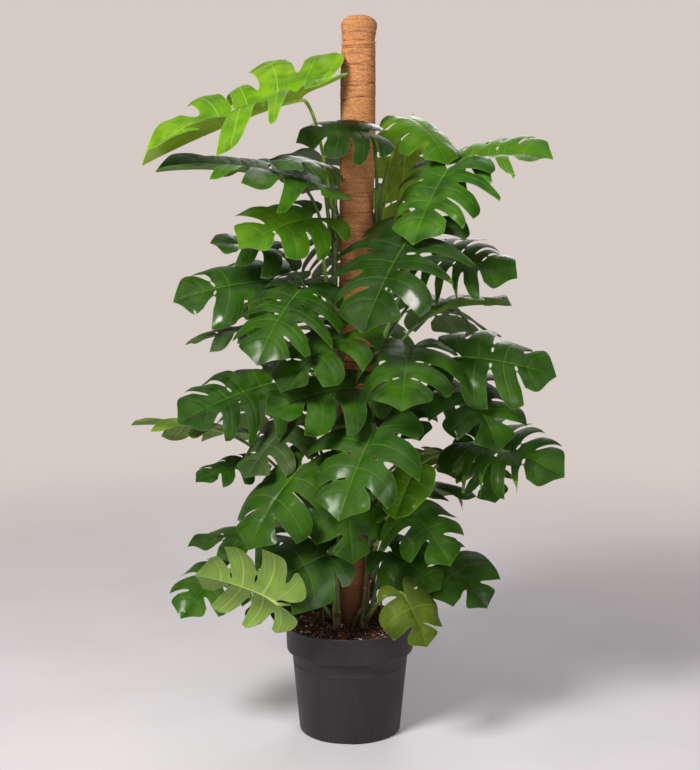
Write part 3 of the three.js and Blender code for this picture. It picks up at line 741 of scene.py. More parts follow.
def slot_outlines(number, lobes, length):
    """Small slots beside the midrib, in line with the splits."""
    slots = []
    if lobes < 2 or length < 150:
        return slots
    for hand in (1, -1):
        for i, split in enumerate(find_splits(number, hand, lobes)[1:]):
            if chance(number, i + 60 + 10 * hand) < 0.45:
                continue
            centre = np.array(in_split(split, 0.6 * split["start"], 0))
            along = unit(np.array(in_split(split, 0.7 * split["start"], 0)) - centre)
            aside = np.array([-along[1], along[0]])
            long, wide = 0.035 + 0.02 * chance(number, i + 80), 0.010 + 0.006 * chance(number, i + 90)
            angles = turns(12)
            ring = centre + np.outer(long * np.cos(angles), along) + np.outer(wide * np.sin(angles), aside)
            ring[:, 0] = np.abs(ring[:, 0]).clip(0.02) * hand
            slots.append(ring)
    return slots


def flat_net(number, lobes, length):
    """Points and triangles of the flat blade, and how far each point lies from an edge."""
    right = half_outline(number, 1, lobes)
    left = [(-s, t) for s, t in half_outline(number, -1, lobes)]
    outline = np.array(right + left[-2:0:-1])
    slots = slot_outlines(number, lobes, length)
    spacing = NET_STEP / length
    rows = np.arange(-0.4, 1.1, spacing * 0.87)
    grid = np.array([(x + (spacing / 2 if k % 2 else 0), y)
                     for k, y in enumerate(rows) for x in np.arange(-0.75, 0.75, spacing)])
    keep = inside(grid, outline) & (distance_to(grid, outline) > 0.45 * spacing)
    keep &= np.abs(grid[:, 0]) > RIDGE + 0.5 * spacing
    for ring in slots:
        keep &= ~inside(grid, ring) & (distance_to(grid, ring) > 0.4 * spacing)
    rib = np.arange(0.02, 0.99, spacing)
    ridge = np.array([(s, t) for s in (0, -RIDGE, RIDGE) for t in rib if t < 0.93 or s == 0])
    points = np.concatenate([outline, *slots, ridge, grid[keep]])
    edges, first = [], 0
    for ring in (outline, *slots):
        edges += [(first + k, first + (k + 1) % len(ring)) for k in range(len(ring))]
        first += len(ring)
    made = delaunay_2d_cdt([Vector(point) for point in points], edges, [], 0, 1e-6)
    points = np.array(made[0])
    faces = np.array(made[2])
    centres = points[faces].mean(1)
    keep = inside(centres, outline)
    for ring in slots:
        keep &= ~inside(centres, ring)
    edge = np.min([distance_to(points, ring) for ring in (outline, *slots)], axis=0)
    return points, faces[keep], edge * length


print("points in a net", len(flat_net(3, 4, 300)[0]))


# %% Numbers of the veins
def vein_map(points, number, hand, lobes):
    """For each point, the number of the side vein that runs through it and its share of the way out."""
    knots = [((0, -0.01), (0.05, -0.24)), ((0, 0.0), (0.4, -0.29))]
    if lobes:
        splits = find_splits(number, hand, lobes)
        knots += [(split["root"], (margin(split["t"]), split["t"])) for split in splits]
    else:
        knots += [((0, 0.03 + 0.68 * t), (margin(t) * 0.9, t)) for t in (0.05, 0.45, 0.8)]
    knots += [((0, 0.82), (margin(0.95) * 0.75, 0.96)), ((0, 1.0), (0.0, 1.06))]
    knots = np.array(knots, float)
    numbers = np.linspace(0, len(knots) - 1, 12 * len(knots))
    rays = [[np.interp(numbers, range(len(knots)), knots[:, end, axis]) for axis in (0, 1)] for end in (0, 1)]
    roots, ends = np.array(rays[0]).T, np.array(rays[1]).T
    flat = points * [hand, 1]
    way = ends - roots
    gap = flat[:, None, :] - roots[None]
    share = np.clip((gap * way).sum(2) / (way ** 2).sum(1), 0, 1.2)
    bow = 0.16 * share * np.clip(1 - share, 0, 1)
    side = way[:, 0] * (gap[..., 1] + bow) - way[:, 1] * gap[..., 0]
    side /= np.linalg.norm(way, axis=1)
    passed = side < 0
    index = np.clip(passed.argmax(1), 1, len(numbers) - 1)
    index[~passed.any(1)] = len(numbers) - 1
    row = np.arange(len(flat))
    before, after = side[row, index - 1], side[row, index]
    mix = np.clip(before / np.where(before - after == 0, 1, before - after), 0, 1)
    vein = numbers[index - 1] + (numbers[index] - numbers[index - 1]) * mix
    return np.minimum(vein, len(knots) - 2), share[row, index]


# %% [markdown]
# ## Bending the blade
#
# In space the midrib is an arc from joint to tip. Each half rises a little from the midrib and then hangs
# over, with a slow ripple along the margin. On top of that the skin between two side veins is puffed up,
# the midrib is sunk above and stands out below, and the ends of the lobes curl a little, each in its way.


# %% Shape of a blade in space
def blade_shape(leaf, number):
    """Functions for a point of the blade and for its normal, the way it points and its length."""
    joint, tip = np.array(leaf[3], float), np.array(leaf[4], float)
    roll, bend, fold = (math.radians(angle) for angle in leaf[5:8])
    length = np.linalg.norm(tip - joint)
    forward = unit(tip - joint)
    level = unit(np.cross(forward, UP))
    face = math.cos(roll) * np.cross(level, forward) + math.sin(roll) * level
    across = np.cross(forward, face)
    arc = length / (2 * math.sin(bend / 2))
    curve = math.radians(50 + 25 * chance(number, 4)) / HALF_WIDTH
    wave = 0.02 + 0.025 * chance(number, 5)

    def at(s, t):
        s, t = (np.asarray(value, float)[..., None] for value in (s, t))
        slope = bend / 2 * (1 - 2 * t)
        along = arc * (math.sin(bend / 2) - np.sin(slope))
        lift = arc * (np.cos(slope) - math.cos(bend / 2))
        normal = face * np.cos(slope) - forward * np.sin(slope)
        reach = np.abs(s)
        out = length * (math.sin(fold) - np.sin(fold - curve * reach)) / curve
        arch = length * (np.cos(fold - curve * reach) - math.cos(fold)) / curve
        ripple = np.sin(9 * t + np.where(s > 0, 0, 2) + number) * (reach / HALF_WIDTH) ** 2
        sideways = across * np.sign(s) * out
        return joint + forward * along + face * lift + normal * (arch + length * wave * ripple) + sideways

    def normal_at(s, t):
        step = 0.01
        sideways = at(s + step, t) - at(s - step, t)
        lengthways = at(s, t + step) - at(s, t - step)
        normal = np.cross(sideways, lengthways)
        return normal / np.linalg.norm(normal, axis=-1)[..., None]

    return at, normal_at, forward, length


# %% Stalk
def bezier(points, u):
    a, b, c, d = points
    return (1 - u) ** 3 * a + 3 * (1 - u) ** 2 * u * b + 3 * (1 - u) * u * u * c + u ** 3 * d


def stalk_places(leaf, shape):
    """Middle points of the stalk from inside its stem to under the blade.

    With them go the radius and the share of the stalk's length at each.
    """
    at, normal_at, forward, _ = shape
    zero = np.zeros(1)
    normal = normal_at(zero, zero)[0]
    stem = STEMS[leaf[1]]
    axis = stem_at(stem, leaf[2])
    joint = at(zero, zero)[0] + normal * (BLADE_THICKNESS / 2 - STALK_RADIUS)
    knee = joint - 6 * forward - 3 * normal
    outward = (knee - axis) * [1, 1, 0]
    out = unit(outward)
    foot = axis + out * (stem_radius(stem, leaf[2]) + JOIN_GAP)
    # It leaves the stem outward, climbs, and comes to the blade from below.
    start = foot + 6.5 * out + 5 * UP
    climb = knee[2] - start[2]
    reach = np.linalg.norm(outward)
    curve = (start, start + 0.2 * outward + 0.45 * climb * UP,
             knee - 0.2 * outward - 0.12 * reach * forward - 0.12 * climb * UP, knee)
    places = [foot - 3 * out, foot, foot + 3 * out + UP]
    radii = [STALK_FOOT_RADIUS + 1.2, STALK_FOOT_RADIUS + 0.9, STALK_FOOT_RADIUS + 0.5]
    shares = [0, 0.01, 0.02]
    for u in np.linspace(0, 1, STALK_RINGS):
        places.append(bezier(curve, u))
        slim = min(1, 2.5 * u)
        swell = 0.7 * math.exp(-((u - 0.97) / 0.04) ** 2)
        radii.append(STALK_FOOT_RADIUS + (STALK_RADIUS - STALK_FOOT_RADIUS) * slim - 0.3 * slim + swell)
        shares.append(0.03 + 0.93 * u)
    # Its end runs on under the blade and thins out.
    for t, radius in ((0.0, 3.3), (0.04, 2.6), (0.09, 1.8), (0.16, 1.0)):
        centre = at(zero, zero + t)[0] - normal_at(zero, zero + t)[0] * (radius + 0.1)
        places.append(centre)
        radii.append(radius)
        shares.append(1.0)
    return np.array(places), radii, shares


# %% Relief of a blade
PUFF = 0.012
CURL = 0.16
RUFFLE = 0.012
CRINKLE = 1.1
RIB_WIDTH = 0.011
MOST_VEINS = 20
# Leaves that lie close to a neighbour, so their lobes curl and ripple less.
CALM = 0.2
CALM_LEAVES = {"leaf_left_low_front", "leaf_top_left_dark", "leaf_top_front", "leaf_left_grey",
               "leaf_front_low_dark"}


def lobe_droop(number, lobes, s, vein, out):
    """How far each lobe lifts or hangs off the smooth shape, as a share of the length."""
    amounts = np.zeros((2, MOST_VEINS))
    for row, shift in ((0, 0), (1, 50)):
        for i in range(1, lobes + 1):
            amounts[row, i + 1] = LOBE_DROOP * (chance(number, i + 60 + shift) - 0.6)
    lobe = np.clip(np.floor(vein).astype(int), 0, MOST_VEINS - 1)
    return amounts[(s > 0).astype(int), lobe] * np.clip((out - 0.4) / 0.65, 0, None) ** 1.3


def blade_lift(leaf, number, flat, middle, vein, out, edge):
    """How far the skin stands off the smooth shape: hung lobes, puffed fields, curls and ripples."""
    s, t = flat.T
    length = np.linalg.norm(np.subtract(leaf[4], leaf[3]))
    tips = np.clip(out - 0.7, 0, 1) ** 2
    droop = length * lobe_droop(number, leaf[8], s, vein, out)
    puff = PUFF * length * (0.5 - np.abs(vein % 1 - 0.5)) * np.clip(3 * out, 0, 1) * np.clip(edge / 8, 0, 1)
    curl = np.sin(5 * np.floor(vein) + number + 3 * np.sign(s)) * tips * CURL * length
    crinkle = CRINKLE * np.sin(0.11 * middle[:, 0] + number) * np.sin(0.09 * middle[:, 2] + 2 * number)
    ruffle = RUFFLE * length * np.sin(13 * t + 3 * number + s) * np.clip(out - 0.3, 0, 1) ** 2
    calm = CALM if leaf[0] in CALM_LEAVES else 1
    return droop + calm * (2 * puff + curl + ruffle + crinkle * np.clip(4 * np.abs(s), 0, 1))


# %% One leaf
def blade_body(flat, faces):
    """Faces of the top, the underside and the margin between them, and the material of each."""
    count = len(flat)
    area = np.cross(flat[faces[:, 1]] - flat[faces[:, 0]], flat[faces[:, 2]] - flat[faces[:, 0]])
    faces[area < 0] = faces[area < 0][:, ::-1]
    sides = np.concatenate([faces[:, [0, 1]], faces[:, [1, 2]], faces[:, [2, 0]]])
    # A side that no neighbour runs the other way lies on the margin.
    codes = sides[:, 0] * count + sides[:, 1]
    back = sides[:, 1] * count + sides[:, 0]
    rim = sides[~np.isin(codes, back)]
    rim_faces = np.stack([rim[:, 0], rim[:, 0] + count, rim[:, 1] + count, rim[:, 1]], 1)
    whole = faces.tolist() + (faces[:, ::-1] + count).tolist() + rim_faces.tolist()
    return whole, [0] * len(faces) + [1] * len(faces) + [0] * len(rim_faces)


def groove(angles):
    """The shallow channel along the upper side of a stalk."""
    return 1 - 0.10 * np.exp(-((angles - math.pi / 2) / 0.5) ** 2)


def make_leaf(leaf, number):
    name, lobes, kind = leaf[0], leaf[8], leaf[9]
    shape = blade_shape(leaf, number)
    at, normal_at, _, length = shape
    flat, faces, edge = flat_net(number, lobes, length)
    s, t = flat.T
    right, left = vein_map(flat, number, 1, lobes), vein_map(flat, number, -1, lobes)
    vein = np.where(s >= 0, right[0], left[0])
    out = np.where(s >= 0, right[1], left[1])
    middle = at(s, t)
    normal = normal_at(s, t)
    lift = blade_lift(leaf, number, flat, middle, vein, out, edge)
    # The midrib is sunk above and stands out below, and the margin is thin.
    near_rib = np.exp(-(s / RIB_WIDTH) ** 2) * np.clip(1.1 - t, 0, 1)
    thin = 0.3 + 0.1 * np.clip(edge / 4, 0, 1)
    top = middle + normal * (lift + thin - 1.2 * near_rib)[:, None]
    bottom = middle + normal * (lift - thin - 1.9 * near_rib)[:, None]
    blade_faces, kinds = blade_body(flat, faces)
    places, radii, shares = stalk_places(leaf, shape)
    stalk, stalk_faces = tube(places, radii, STALK_SIDES, shape=groove)
    points, all_faces = joined([(np.concatenate([top, bottom]), blade_faces), (stalk, stalk_faces)])
    kinds += [2] * len(stalk_faces)
    piece = make_piece(f"{name}_skin", points, all_faces, LEAF_SKINS[kind], f"leaf_{kind}", [name], 50, kinds)
    count = len(flat)
    point_values(piece, "edge", np.concatenate([edge, edge, np.full(len(stalk), 9)]))
    point_values(piece, "reach", np.concatenate([np.zeros(2 * count), np.repeat(shares, STALK_SIDES)]))
    point_values(piece, "tone", np.full(len(points), 0.75 * chance(number, 7)))
    add_maps(piece, flat, [left, right], count)
    return piece


def add_maps(piece, flat, maps, count):
    """The blade's flat places and its vein numbers, for each corner of each face."""
    mesh = piece.data
    corners = np.empty(len(mesh.loops), np.int32)
    mesh.loops.foreach_get("vertex_index", corners)
    on_blade = corners < 2 * count
    source = np.where(on_blade, corners % count, 0)
    starts = np.empty(len(mesh.polygons), np.int32)
    sizes = np.empty(len(mesh.polygons), np.int32)
    mesh.polygons.foreach_get("loop_start", starts)
    mesh.polygons.foreach_get("loop_total", sizes)
    across = np.add.reduceat(flat[source, 0], starts) / sizes
    hand = np.repeat((across > 0).astype(int), sizes)
    numbers = np.array([maps[0][0], maps[1][0]])[hand, source]
    shares = np.array([maps[0][1], maps[1][1]])[hand, source]
    blade = np.where(on_blade[:, None], flat[source], [0.3, 0.5])
    veins = np.stack([np.where(on_blade, numbers, 0.1), np.where(on_blade, shares, 0.5)], 1)
    for name, values in (("blade", blade), ("veins", veins)):
        layer = mesh.uv_layers.new(name=name)
        layer.data.foreach_set("uv", values.astype(np.float32).ravel())


# %% All leaves
leaf_triangles = 0
for number, leaf in enumerate(LEAVES):
    piece = make_leaf(leaf, number)
    piece.data.calc_loop_triangles()
    leaf_triangles += len(piece.data.loop_triangles)
print("leaves", len(LEAVES), "triangles", leaf_triangles)

# %% [markdown]
# ## The climbing stems
#
# An old stem is thick and smooth, green above and brown and corky low down. Round it run the pale ring
# scars of fallen leaves, and below each ring brown root stubs push out towards the pole.


# %% Stem material and stems
def stem_material():
    material, tree, shader = new_material("stem_skin", 0.5)
    base, _ = blotches(tree, rgb(92, 116, 52), rgb(66, 70, 38), 38.0, 0.9)
    low = ramp(object_height(tree) + noise(tree, 12.0) * 0.3, 0.75, 0.3)
    brown = mix_colour(low * 0.75, base, rgb(92, 72, 44))
    scar = carried(tree, "scar")
    skin = mix_colour(scar * 0.5, brown, rgb(150, 132, 92))
    spots = grit(tree, 700.0, 130.0)
    dress(shader, skin, spots * 0.3 + 0.3, spots + scar, 0.5, 0.0015)
    return material


STEM_SKIN = stem_material()
STEM_SIDES = 20
NODE_GAP = 74


def make_stem(name, stem, turn):
    """A stem with its ring scars and root stubs. The turn sets where its nodes start."""
    places, radii, scars = [], [], []
    for z in np.arange(STEM_FOOT + 60, stem["top"] + 0.1, 3.0):
        phase = (z + 20 * turn) % NODE_GAP
        scar = math.exp(-((phase - NODE_GAP / 2) / 2.2) ** 2)
        share = (stem["top"] - z) / 12
        taper = min(1, 0.45 + 0.55 * share) if share < 1 else 1
        places.append(stem_at(stem, z))
        radii.append(taper * (stem_radius(stem, z) - 0.4 + 0.5 * scar + 0.3 * math.sin(z / 31 + turn)))
        scars.append(scar)
    bodies = [tube(places, radii, STEM_SIDES)]
    values = [np.repeat(scars, STEM_SIDES)]
    for k, z in enumerate(np.arange(260 + 9 * turn, stem["top"] - 120, NODE_GAP)):
        centre = stem_at(stem, z)
        inward = -from_pole(centre)
        aside = np.cross(inward, UP) * (1 if k % 2 else -1)
        start = centre + aside * (stem_radius(stem, z) - 2)
        ends = [start, start + 5 * aside + 2 * inward - 2 * UP, start + 6 * aside + 9 * inward - 9 * UP]
        fine = [bezier((ends[0], ends[1], ends[1], ends[2]), u) for u in np.linspace(0, 1, 6)]
        bodies.append(tube(fine, [2.2, 2.1, 2.0, 1.8, 1.5, 0.7], 8))
        values.append(np.full(len(bodies[-1][0]), 0.9))
    piece = make_piece(f"stem_{name}_skin", *joined(bodies), [STEM_SKIN], "stem_green", [f"stem_{name}"])
    point_values(piece, "scar", np.concatenate(values))
    print(piece.name, len(bodies) - 1, "root stubs")


for turn, (name, stem) in enumerate(STEMS.items()):
    make_stem(name, stem, turn)

# %% [markdown]
# ## The coir pole
#
# The pole is a post wrapped in a mat of coconut fibre and wound with thin thread. The thread pulls the mat
# in, so the surface is a stack of soft uneven rolls. The fibres themselves lie mostly round the pole and
# stick out a little. The rolls are modelled, the fibres are a bump, and close to two thousand short
# loose strands give the edge of the pole its fuzz.

# %% Coir material
POLE_TOP = 1468
SLEEVE_RADIUS = 35
SLEEVE_FOOT = 190


def coir_material():
    material, tree, shader = new_material("coir_mat", 0.95, specular=0.15)
    strands = noise(tree, 150.0, 5.0, stretched(tree, 7), 0.65)
    fibre = strands + noise(tree, 420.0, 3.0) * 0.5
    light = mix_colour(ramp(fibre, 0.5, 1.0), rgb(162, 102, 62), rgb(234, 170, 116))
    shaded = mix_colour(carried(tree, "thread") * 0.7, light, rgb(104, 56, 36))
    height = object_height(tree)
    # Browner lower down, and much darker close to the soil.
    lower_down = ramp(height + noise(tree, 9.0) * 0.35, 1.3, 0.5)
    browner = mix_colour(lower_down * 0.06, shaded, rgb(128, 72, 42))
    near_soil = ramp(height - strands * 0.1, 0.42, 0.2)
    skin = mix_colour(near_soil * 0.8, browner, rgb(70, 42, 30))
    dress(shader, skin, fibre * 0.15 + 0.8, fibre, 0.9, 0.004)
    return material


COIR = coir_material()
print("material", COIR.name)

# %% Coir sleeve
THREADS = 150
MAT_SIDES = 110
MAT_PITCH = 1.9
random = np.random.default_rng(7)
thread_heights = np.cumsum(5 + 9 * random.random(THREADS)) + SLEEVE_FOOT
thread_depths = 0.5 + 1.9 * random.random(THREADS) ** 1.5
thread_tilts = 3.5 * (random.random(THREADS) - 0.5)


def coir_surface(angles, z):
    """Radius of the wound mat and how near a thread lies, at angles round the pole and a height."""
    radius = SLEEVE_RADIUS + 0.5 * np.sin(z / 23) + 0.7 * np.sin(2 * angles + z / 60)
    radius += 0.5 * np.sin(3 * angles - z / 41)
    near = np.zeros_like(angles)
    for height, depth, tilt in zip(thread_heights, thread_depths, thread_tilts):
        if abs(height - z) < 14:
            line = height + 3 * tilt * np.sin(angles + height) + tilt * np.sin(3 * angles)
            pull = np.exp(-((z - line) / 1.5) ** 2) * depth * (0.75 + 0.25 * np.sin(5 * angles + height))
            radius -= pull
            near = np.maximum(near, pull / 1.8)
    return radius, near


def make_sleeve():
    sides = MAT_SIDES
    angles = turns(sides)
    points, near = [], []
    for z in np.arange(SLEEVE_FOOT, POLE_TOP, MAT_PITCH):
        radius, thread = coir_surface(angles, z)
        depth = POLE_TOP - z
        lip = 1.6 * math.exp(-((depth - 22) / 10) ** 2) - 1.6 * math.exp(-((depth - 48) / 7) ** 2)
        dome = math.sqrt(max(0.0, 1 - max(0.0, 1 - depth / 20) ** 2.2))
        points.append(circle((radius + lip) * dome, angles, z, pole_x(z)))
        near.append(thread)
    top = len(points) * sides
    rings = [range(first, first + sides) for first in range(0, top, sides)]
    faces = [*bands([*rings, [top] * sides]), tuple(reversed(rings[0]))]
    peak = [[pole_x(POLE_TOP), 0, POLE_TOP - 0.5]]
    points = np.concatenate([*points, peak])
    piece = make_piece("coir_sleeve_skin", points, faces, [COIR], "coir_fibre", ["coir_sleeve"], 80)
    point_values(piece, "thread", np.concatenate([*near, [0]]))
    print(piece.name, len(rings), "rings")


make_sleeve()


# %% Loose fibres
def make_fibres(count):
    """Loose strands that lie round the pole and stick out a little."""
    strands = []
    for _ in range(count):
        z = SLEEVE_FOOT + 30 + (POLE_TOP - SLEEVE_FOOT - 60) * random.random()
        turn = 2 * math.pi * random.random()
        length = 8 + 16 * random.random()
        rise = length * (random.random() - 0.5) * 1.1
        lift = 0.6 + 2.0 * random.random() ** 2
        u = np.linspace(0, 1, 5)
        height = z + rise * u
        radius = SLEEVE_RADIUS - 1.2 + lift * np.sin(math.pi * u * 0.8)
        places = circle(radius, turn + u * length / SLEEVE_RADIUS, height, pole_x(height))
        strands.append(tube(places, [0.16, 0.2, 0.2, 0.16, 0.08], 3))
    points, faces = joined(strands)
    piece = make_piece("coir_strands", points, faces, [COIR], "coir_fibre")
    point_values(piece, "thread", np.zeros(len(points)))
    print(piece.name, count, "strands")


make_fibres(1800)


# %% [markdown]
# ## The tie and the post
#
# A dark coated wire holds stems and pole together. It is drawn tight round them like a belt. The post
# shows only in the soil and inside the mat, so it keeps its plain solid and gets a softwood finish.


# %% Tie and post
def wire_material():
    material, tree, shader = new_material("coated_wire", 0.45)
    base, _ = blotches(tree, rgb(44, 40, 36), rgb(26, 24, 22), 90.0, 0.7)
    spots = grit(tree, 1800.0, 500.0)
    dress(shader, base, spots * 0.3 + 0.25, spots, 0.3, 0.0005)
    return material


def make_tie(height=780, radius=1.3, steps=160):
    """A wire drawn tight round the stems and the pole."""
    circles = [(stem_at(stem, height), stem_radius(stem, height)) for stem in STEMS.values()]
    circles.append((np.array([pole_x(height), 0, height]), SLEEVE_RADIUS))
    places = []
    for turn in turns(steps):
        away = np.array([math.cos(turn), math.sin(turn), 0])
        centre, reach = max(circles, key=lambda circle: circle[0].dot(away) + circle[1])
        places.append(centre + away * (reach + radius) + UP * 0.9 * math.sin(2 * turn))
    even = [places[0]]
    for place in places[1:]:
        if np.linalg.norm(place - even[-1]) > 1.5:
            even.append(place)
    points, faces = tube(even, [radius - 0.1] * len(even), 10, closed=True)
    make_piece("pole_tie_skin", points, faces, [wire_material()], "tie_wire", ["pole_tie"])


def wood_material():
    material, tree, shader = new_material("post_wood", 0.7)
    grain = noise(tree, 260.0, 6.0, stretched(tree, 0.04), 0.6)
    colour = mix_colour(ramp(grain, 0.35, 0.7), rgb(118, 96, 70), rgb(166, 138, 102))
    dress(shader, colour, grain * 0.3 + 0.5, grain, 0.4, 0.001)
    return material


make_tie()
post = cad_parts["pole_post"]
post.data.materials.clear()
post.data.materials.append(wood_material())

# %% [markdown]
# ## The nursery pot
#
# A nursery pot is blown or moulded in one go from black plastic: a thin wall, a deep rim band that the
# stacked pots rest on, a soft step under it, a faint ring a little lower and a rounded foot with drain
# holes. The surface is satin with fine vertical streaks, a few scuffs and some dust.


# %% Pot material
def pot_material():
    material, tree, shader = new_material("pot_plastic", 0.5, specular=0.35)
    streaks = noise(tree, 90.0, 5.0, stretched(tree, 0.06))
    base, _ = blotches(tree, rgb(39, 33, 35), rgb(31, 26, 28), 9.0, 0.9)
    streaked = mix_colour(ramp(streaks, 0.45, 0.7) * 0.25, base, rgb(52, 46, 47))
    scuffs = ramp(noise(tree, 26.0, 8.0, stretched(tree, 3), 0.75), 0.66, 0.74)
    worn = mix_colour(scuffs * 0.18, streaked, rgb(92, 84, 80))
    dusty = dust(tree, 0.35)
    skin = mix_colour(dusty, worn, rgb(120, 108, 96))
    height = grit(tree, 1600.0, 240.0) + streaks
    dress(shader, skin, streaks * 0.2 + 0.38 + dusty * 0.3, height, 0.25, 0.0006)
    return material


# %% Pot
RIM_RADIUS, POT_HEIGHT, RIM_FOOT = 135, 230, 174
BODY_TOP_RADIUS, BASE_RADIUS, POT_WALL, POT_FLOOR = 121, 106, 2.4, 3
POT_INSIDE = [(RIM_RADIUS - 6, RIM_FOOT + 5), (BODY_TOP_RADIUS - POT_WALL, RIM_FOOT - 5),
              (BASE_RADIUS - POT_WALL, POT_FLOOR + 4), (BASE_RADIUS - 7, POT_FLOOR)]
DRAIN_HOLES, DRAIN_RADIUS, DRAIN_CIRCLE = 6, 6, 78
POT_SIDES = 168


def pot_profile():
    """Radius and height along the pot's wall, from its foot over the rim to the inner floor."""
    outside = [
        (0, 0.6), (DRAIN_CIRCLE - DRAIN_RADIUS, 0.6), (DRAIN_CIRCLE + DRAIN_RADIUS, 0.6),
        (BASE_RADIUS - 13, 0.6), (BASE_RADIUS - 11, 0), (BASE_RADIUS - 5, 0), (BASE_RADIUS - 2.2, 0.7),
        (BASE_RADIUS - 0.8, 2.6), (BASE_RADIUS, 6), (BASE_RADIUS + 4.2, 52), (BASE_RADIUS + 8.4, 98),
        (BODY_TOP_RADIUS - 2.2, RIM_FOOT - 29), (BODY_TOP_RADIUS - 1.7, RIM_FOOT - 27.5),
        (BODY_TOP_RADIUS - 2.3, RIM_FOOT - 26), (BODY_TOP_RADIUS - 1.2, RIM_FOOT - 20),
        (BODY_TOP_RADIUS - 0.2, RIM_FOOT - 9), (BODY_TOP_RADIUS + 1.5, RIM_FOOT - 5),
        (RIM_RADIUS - 6, RIM_FOOT - 1), (RIM_RADIUS - 3.8, RIM_FOOT + 0.6), (RIM_RADIUS - 3.1, RIM_FOOT + 3),
        (RIM_RADIUS - 2.9, RIM_FOOT + 8), (RIM_RADIUS - 1.4, POT_HEIGHT - 8),
        (RIM_RADIUS - 0.6, POT_HEIGHT - 4.5), (RIM_RADIUS, POT_HEIGHT - 2.4),
        (RIM_RADIUS - 0.4, POT_HEIGHT - 0.8), (RIM_RADIUS - 1.4, POT_HEIGHT),
    ]
    lip = [(RIM_RADIUS - 3.2, POT_HEIGHT), (RIM_RADIUS - 4, POT_HEIGHT - 1)]
    return [*outside, *lip, *POT_INSIDE, (0, POT_FLOOR)]


def revolve(profile, sides, wobble=None):
    """A profile of radii and heights turned about the upright axis."""
    angles = turns(sides)
    points, rings = [], []
    for radius, z in profile:
        if radius == 0:
            rings.append([len(points)] * sides)
            points.append((0, 0, z))
        else:
            reach = radius + (wobble(angles, z) if wobble else 0 * angles)
            rings.append(range(len(points), len(points) + sides))
            points += list(circle(reach, angles, z))
    return np.array(points), bands(rings)


def make_pot():
    def wobble(angles, z):
        foot = np.exp(-((angles - math.radians(262)) / 0.16) ** 2) * max(0, 1 - z / 14)
        return 0.35 * np.sin(2 * angles + 1) * (z / POT_HEIGHT) - 1.6 * foot

    points, faces = revolve(pot_profile(), POT_SIDES, wobble)
    plastic = [pot_material()]
    piece = make_piece("nursery_pot_skin", points, faces, plastic, "pot_plastic", ["nursery_pot"], 40)
    cutters = []
    for centre in circle(DRAIN_CIRCLE, turns(DRAIN_HOLES), 0):
        cutters.append(tube([centre - 5 * UP, centre + 9 * UP], [DRAIN_RADIUS] * 2, 24))
    points, faces = joined(cutters)
    cutter = add_object("drain_cutter", new_mesh("drain_cutter", points, faces))
    cut = piece.modifiers.new("drain", "BOOLEAN")
    cut.operation, cut.solver, cut.object = "DIFFERENCE", "EXACT", cutter
    graph = bpy.context.evaluated_depsgraph_get()
    cut_mesh = bpy.data.meshes.new_from_object(piece.evaluated_get(graph))
    piece.modifiers.clear()
    piece.data = cut_mesh
    bpy.data.objects.remove(cutter)
    print(piece.name, len(cut_mesh.polygons), "faces")


make_pot()

# %% [markdown]
# ## The soil
#
# Potting soil is dark and crumbly: fine peat, lumps, short bits of bark and white grains of perlite that
# show up first. A bed with uneven height carries almost three thousand loose bits, each a small stone
# with its own shape, sunk a little into the bed.


# %% Soil material
def soil_material(name, colour, deep, roughness):
    material, tree, shader = new_material(name, roughness, specular=0.25)
    base, _ = blotches(tree, rgb(*colour), rgb(*deep), 160.0, 1.0)
    spots = grit(tree, 1300.0, 420.0)
    bright = rgb(*(min(255, round(1.5 * value)) for value in colour))
    specked = mix_colour(ramp(spots, 0.75, 0.95) * 0.35, base, bright)
    dress(shader, specked, spots * 0.2 + (roughness - 0.15), spots, 0.9, 0.003)
    return material


PEAT = soil_material("peat", (78, 48, 36), (40, 24, 18), 0.95)
BARK = soil_material("bark_crumb", (128, 80, 52), (74, 44, 30), 0.9)
PERLITE = soil_material("perlite", (226, 216, 198), (190, 176, 154), 0.8)
print("soil materials", [material.name for material in (PEAT, BARK, PERLITE)])


# %% Soil
SOIL_MOUND = 17
SOIL_MOUND_RADIUS = 75
SOIL_LUMPS = 1.6
SOIL_RINGS = 70
SOIL_SIDES = 200


def soil_height(x, y):
    """The soil's surface: a mound towards the stems with lumps and crumbs."""
    mound = SOIL_MOUND * np.exp(-(np.hypot(x, y) / SOIL_MOUND_RADIUS) ** 2)
    lumps = np.sin(x / 13 + 1) * np.cos(y / 11) + 0.75 * np.sin((x - y) / 19)
    fine = 0.9 * np.sin(x / 3.1 + 2 * np.sin(y / 5)) * np.cos(y / 2.7) + 0.5 * np.sin(x / 1.7 - y / 2.1)
    return SOIL_EDGE + mound + SOIL_LUMPS * lumps + fine


def make_soil():
    """A bed turned from the middle of its surface out and down the pot's inside, with uneven height."""
    reach = RIM_RADIUS - 5.3
    surface = [(reach * k / SOIL_RINGS, SOIL_EDGE) for k in range(SOIL_RINGS + 1)]
    walls = [(radius - 0.4, z + JOIN_GAP) for radius, z in POT_INSIDE]
    points, faces = revolve([*surface, *walls, (0, POT_FLOOR + JOIN_GAP)], SOIL_SIDES)
    top = points[:1 + SOIL_RINGS * SOIL_SIDES]
    top[:, 2] = soil_height(top[:, 0], top[:, 1])
    faces = [face[:1] + face[:0:-1] for face in faces]
    make_piece("potting_soil_skin", points, faces, [PEAT], "potting_soil", ["potting_soil"], 80)
    print("potting_soil_skin", len(points), "points")


make_soil()

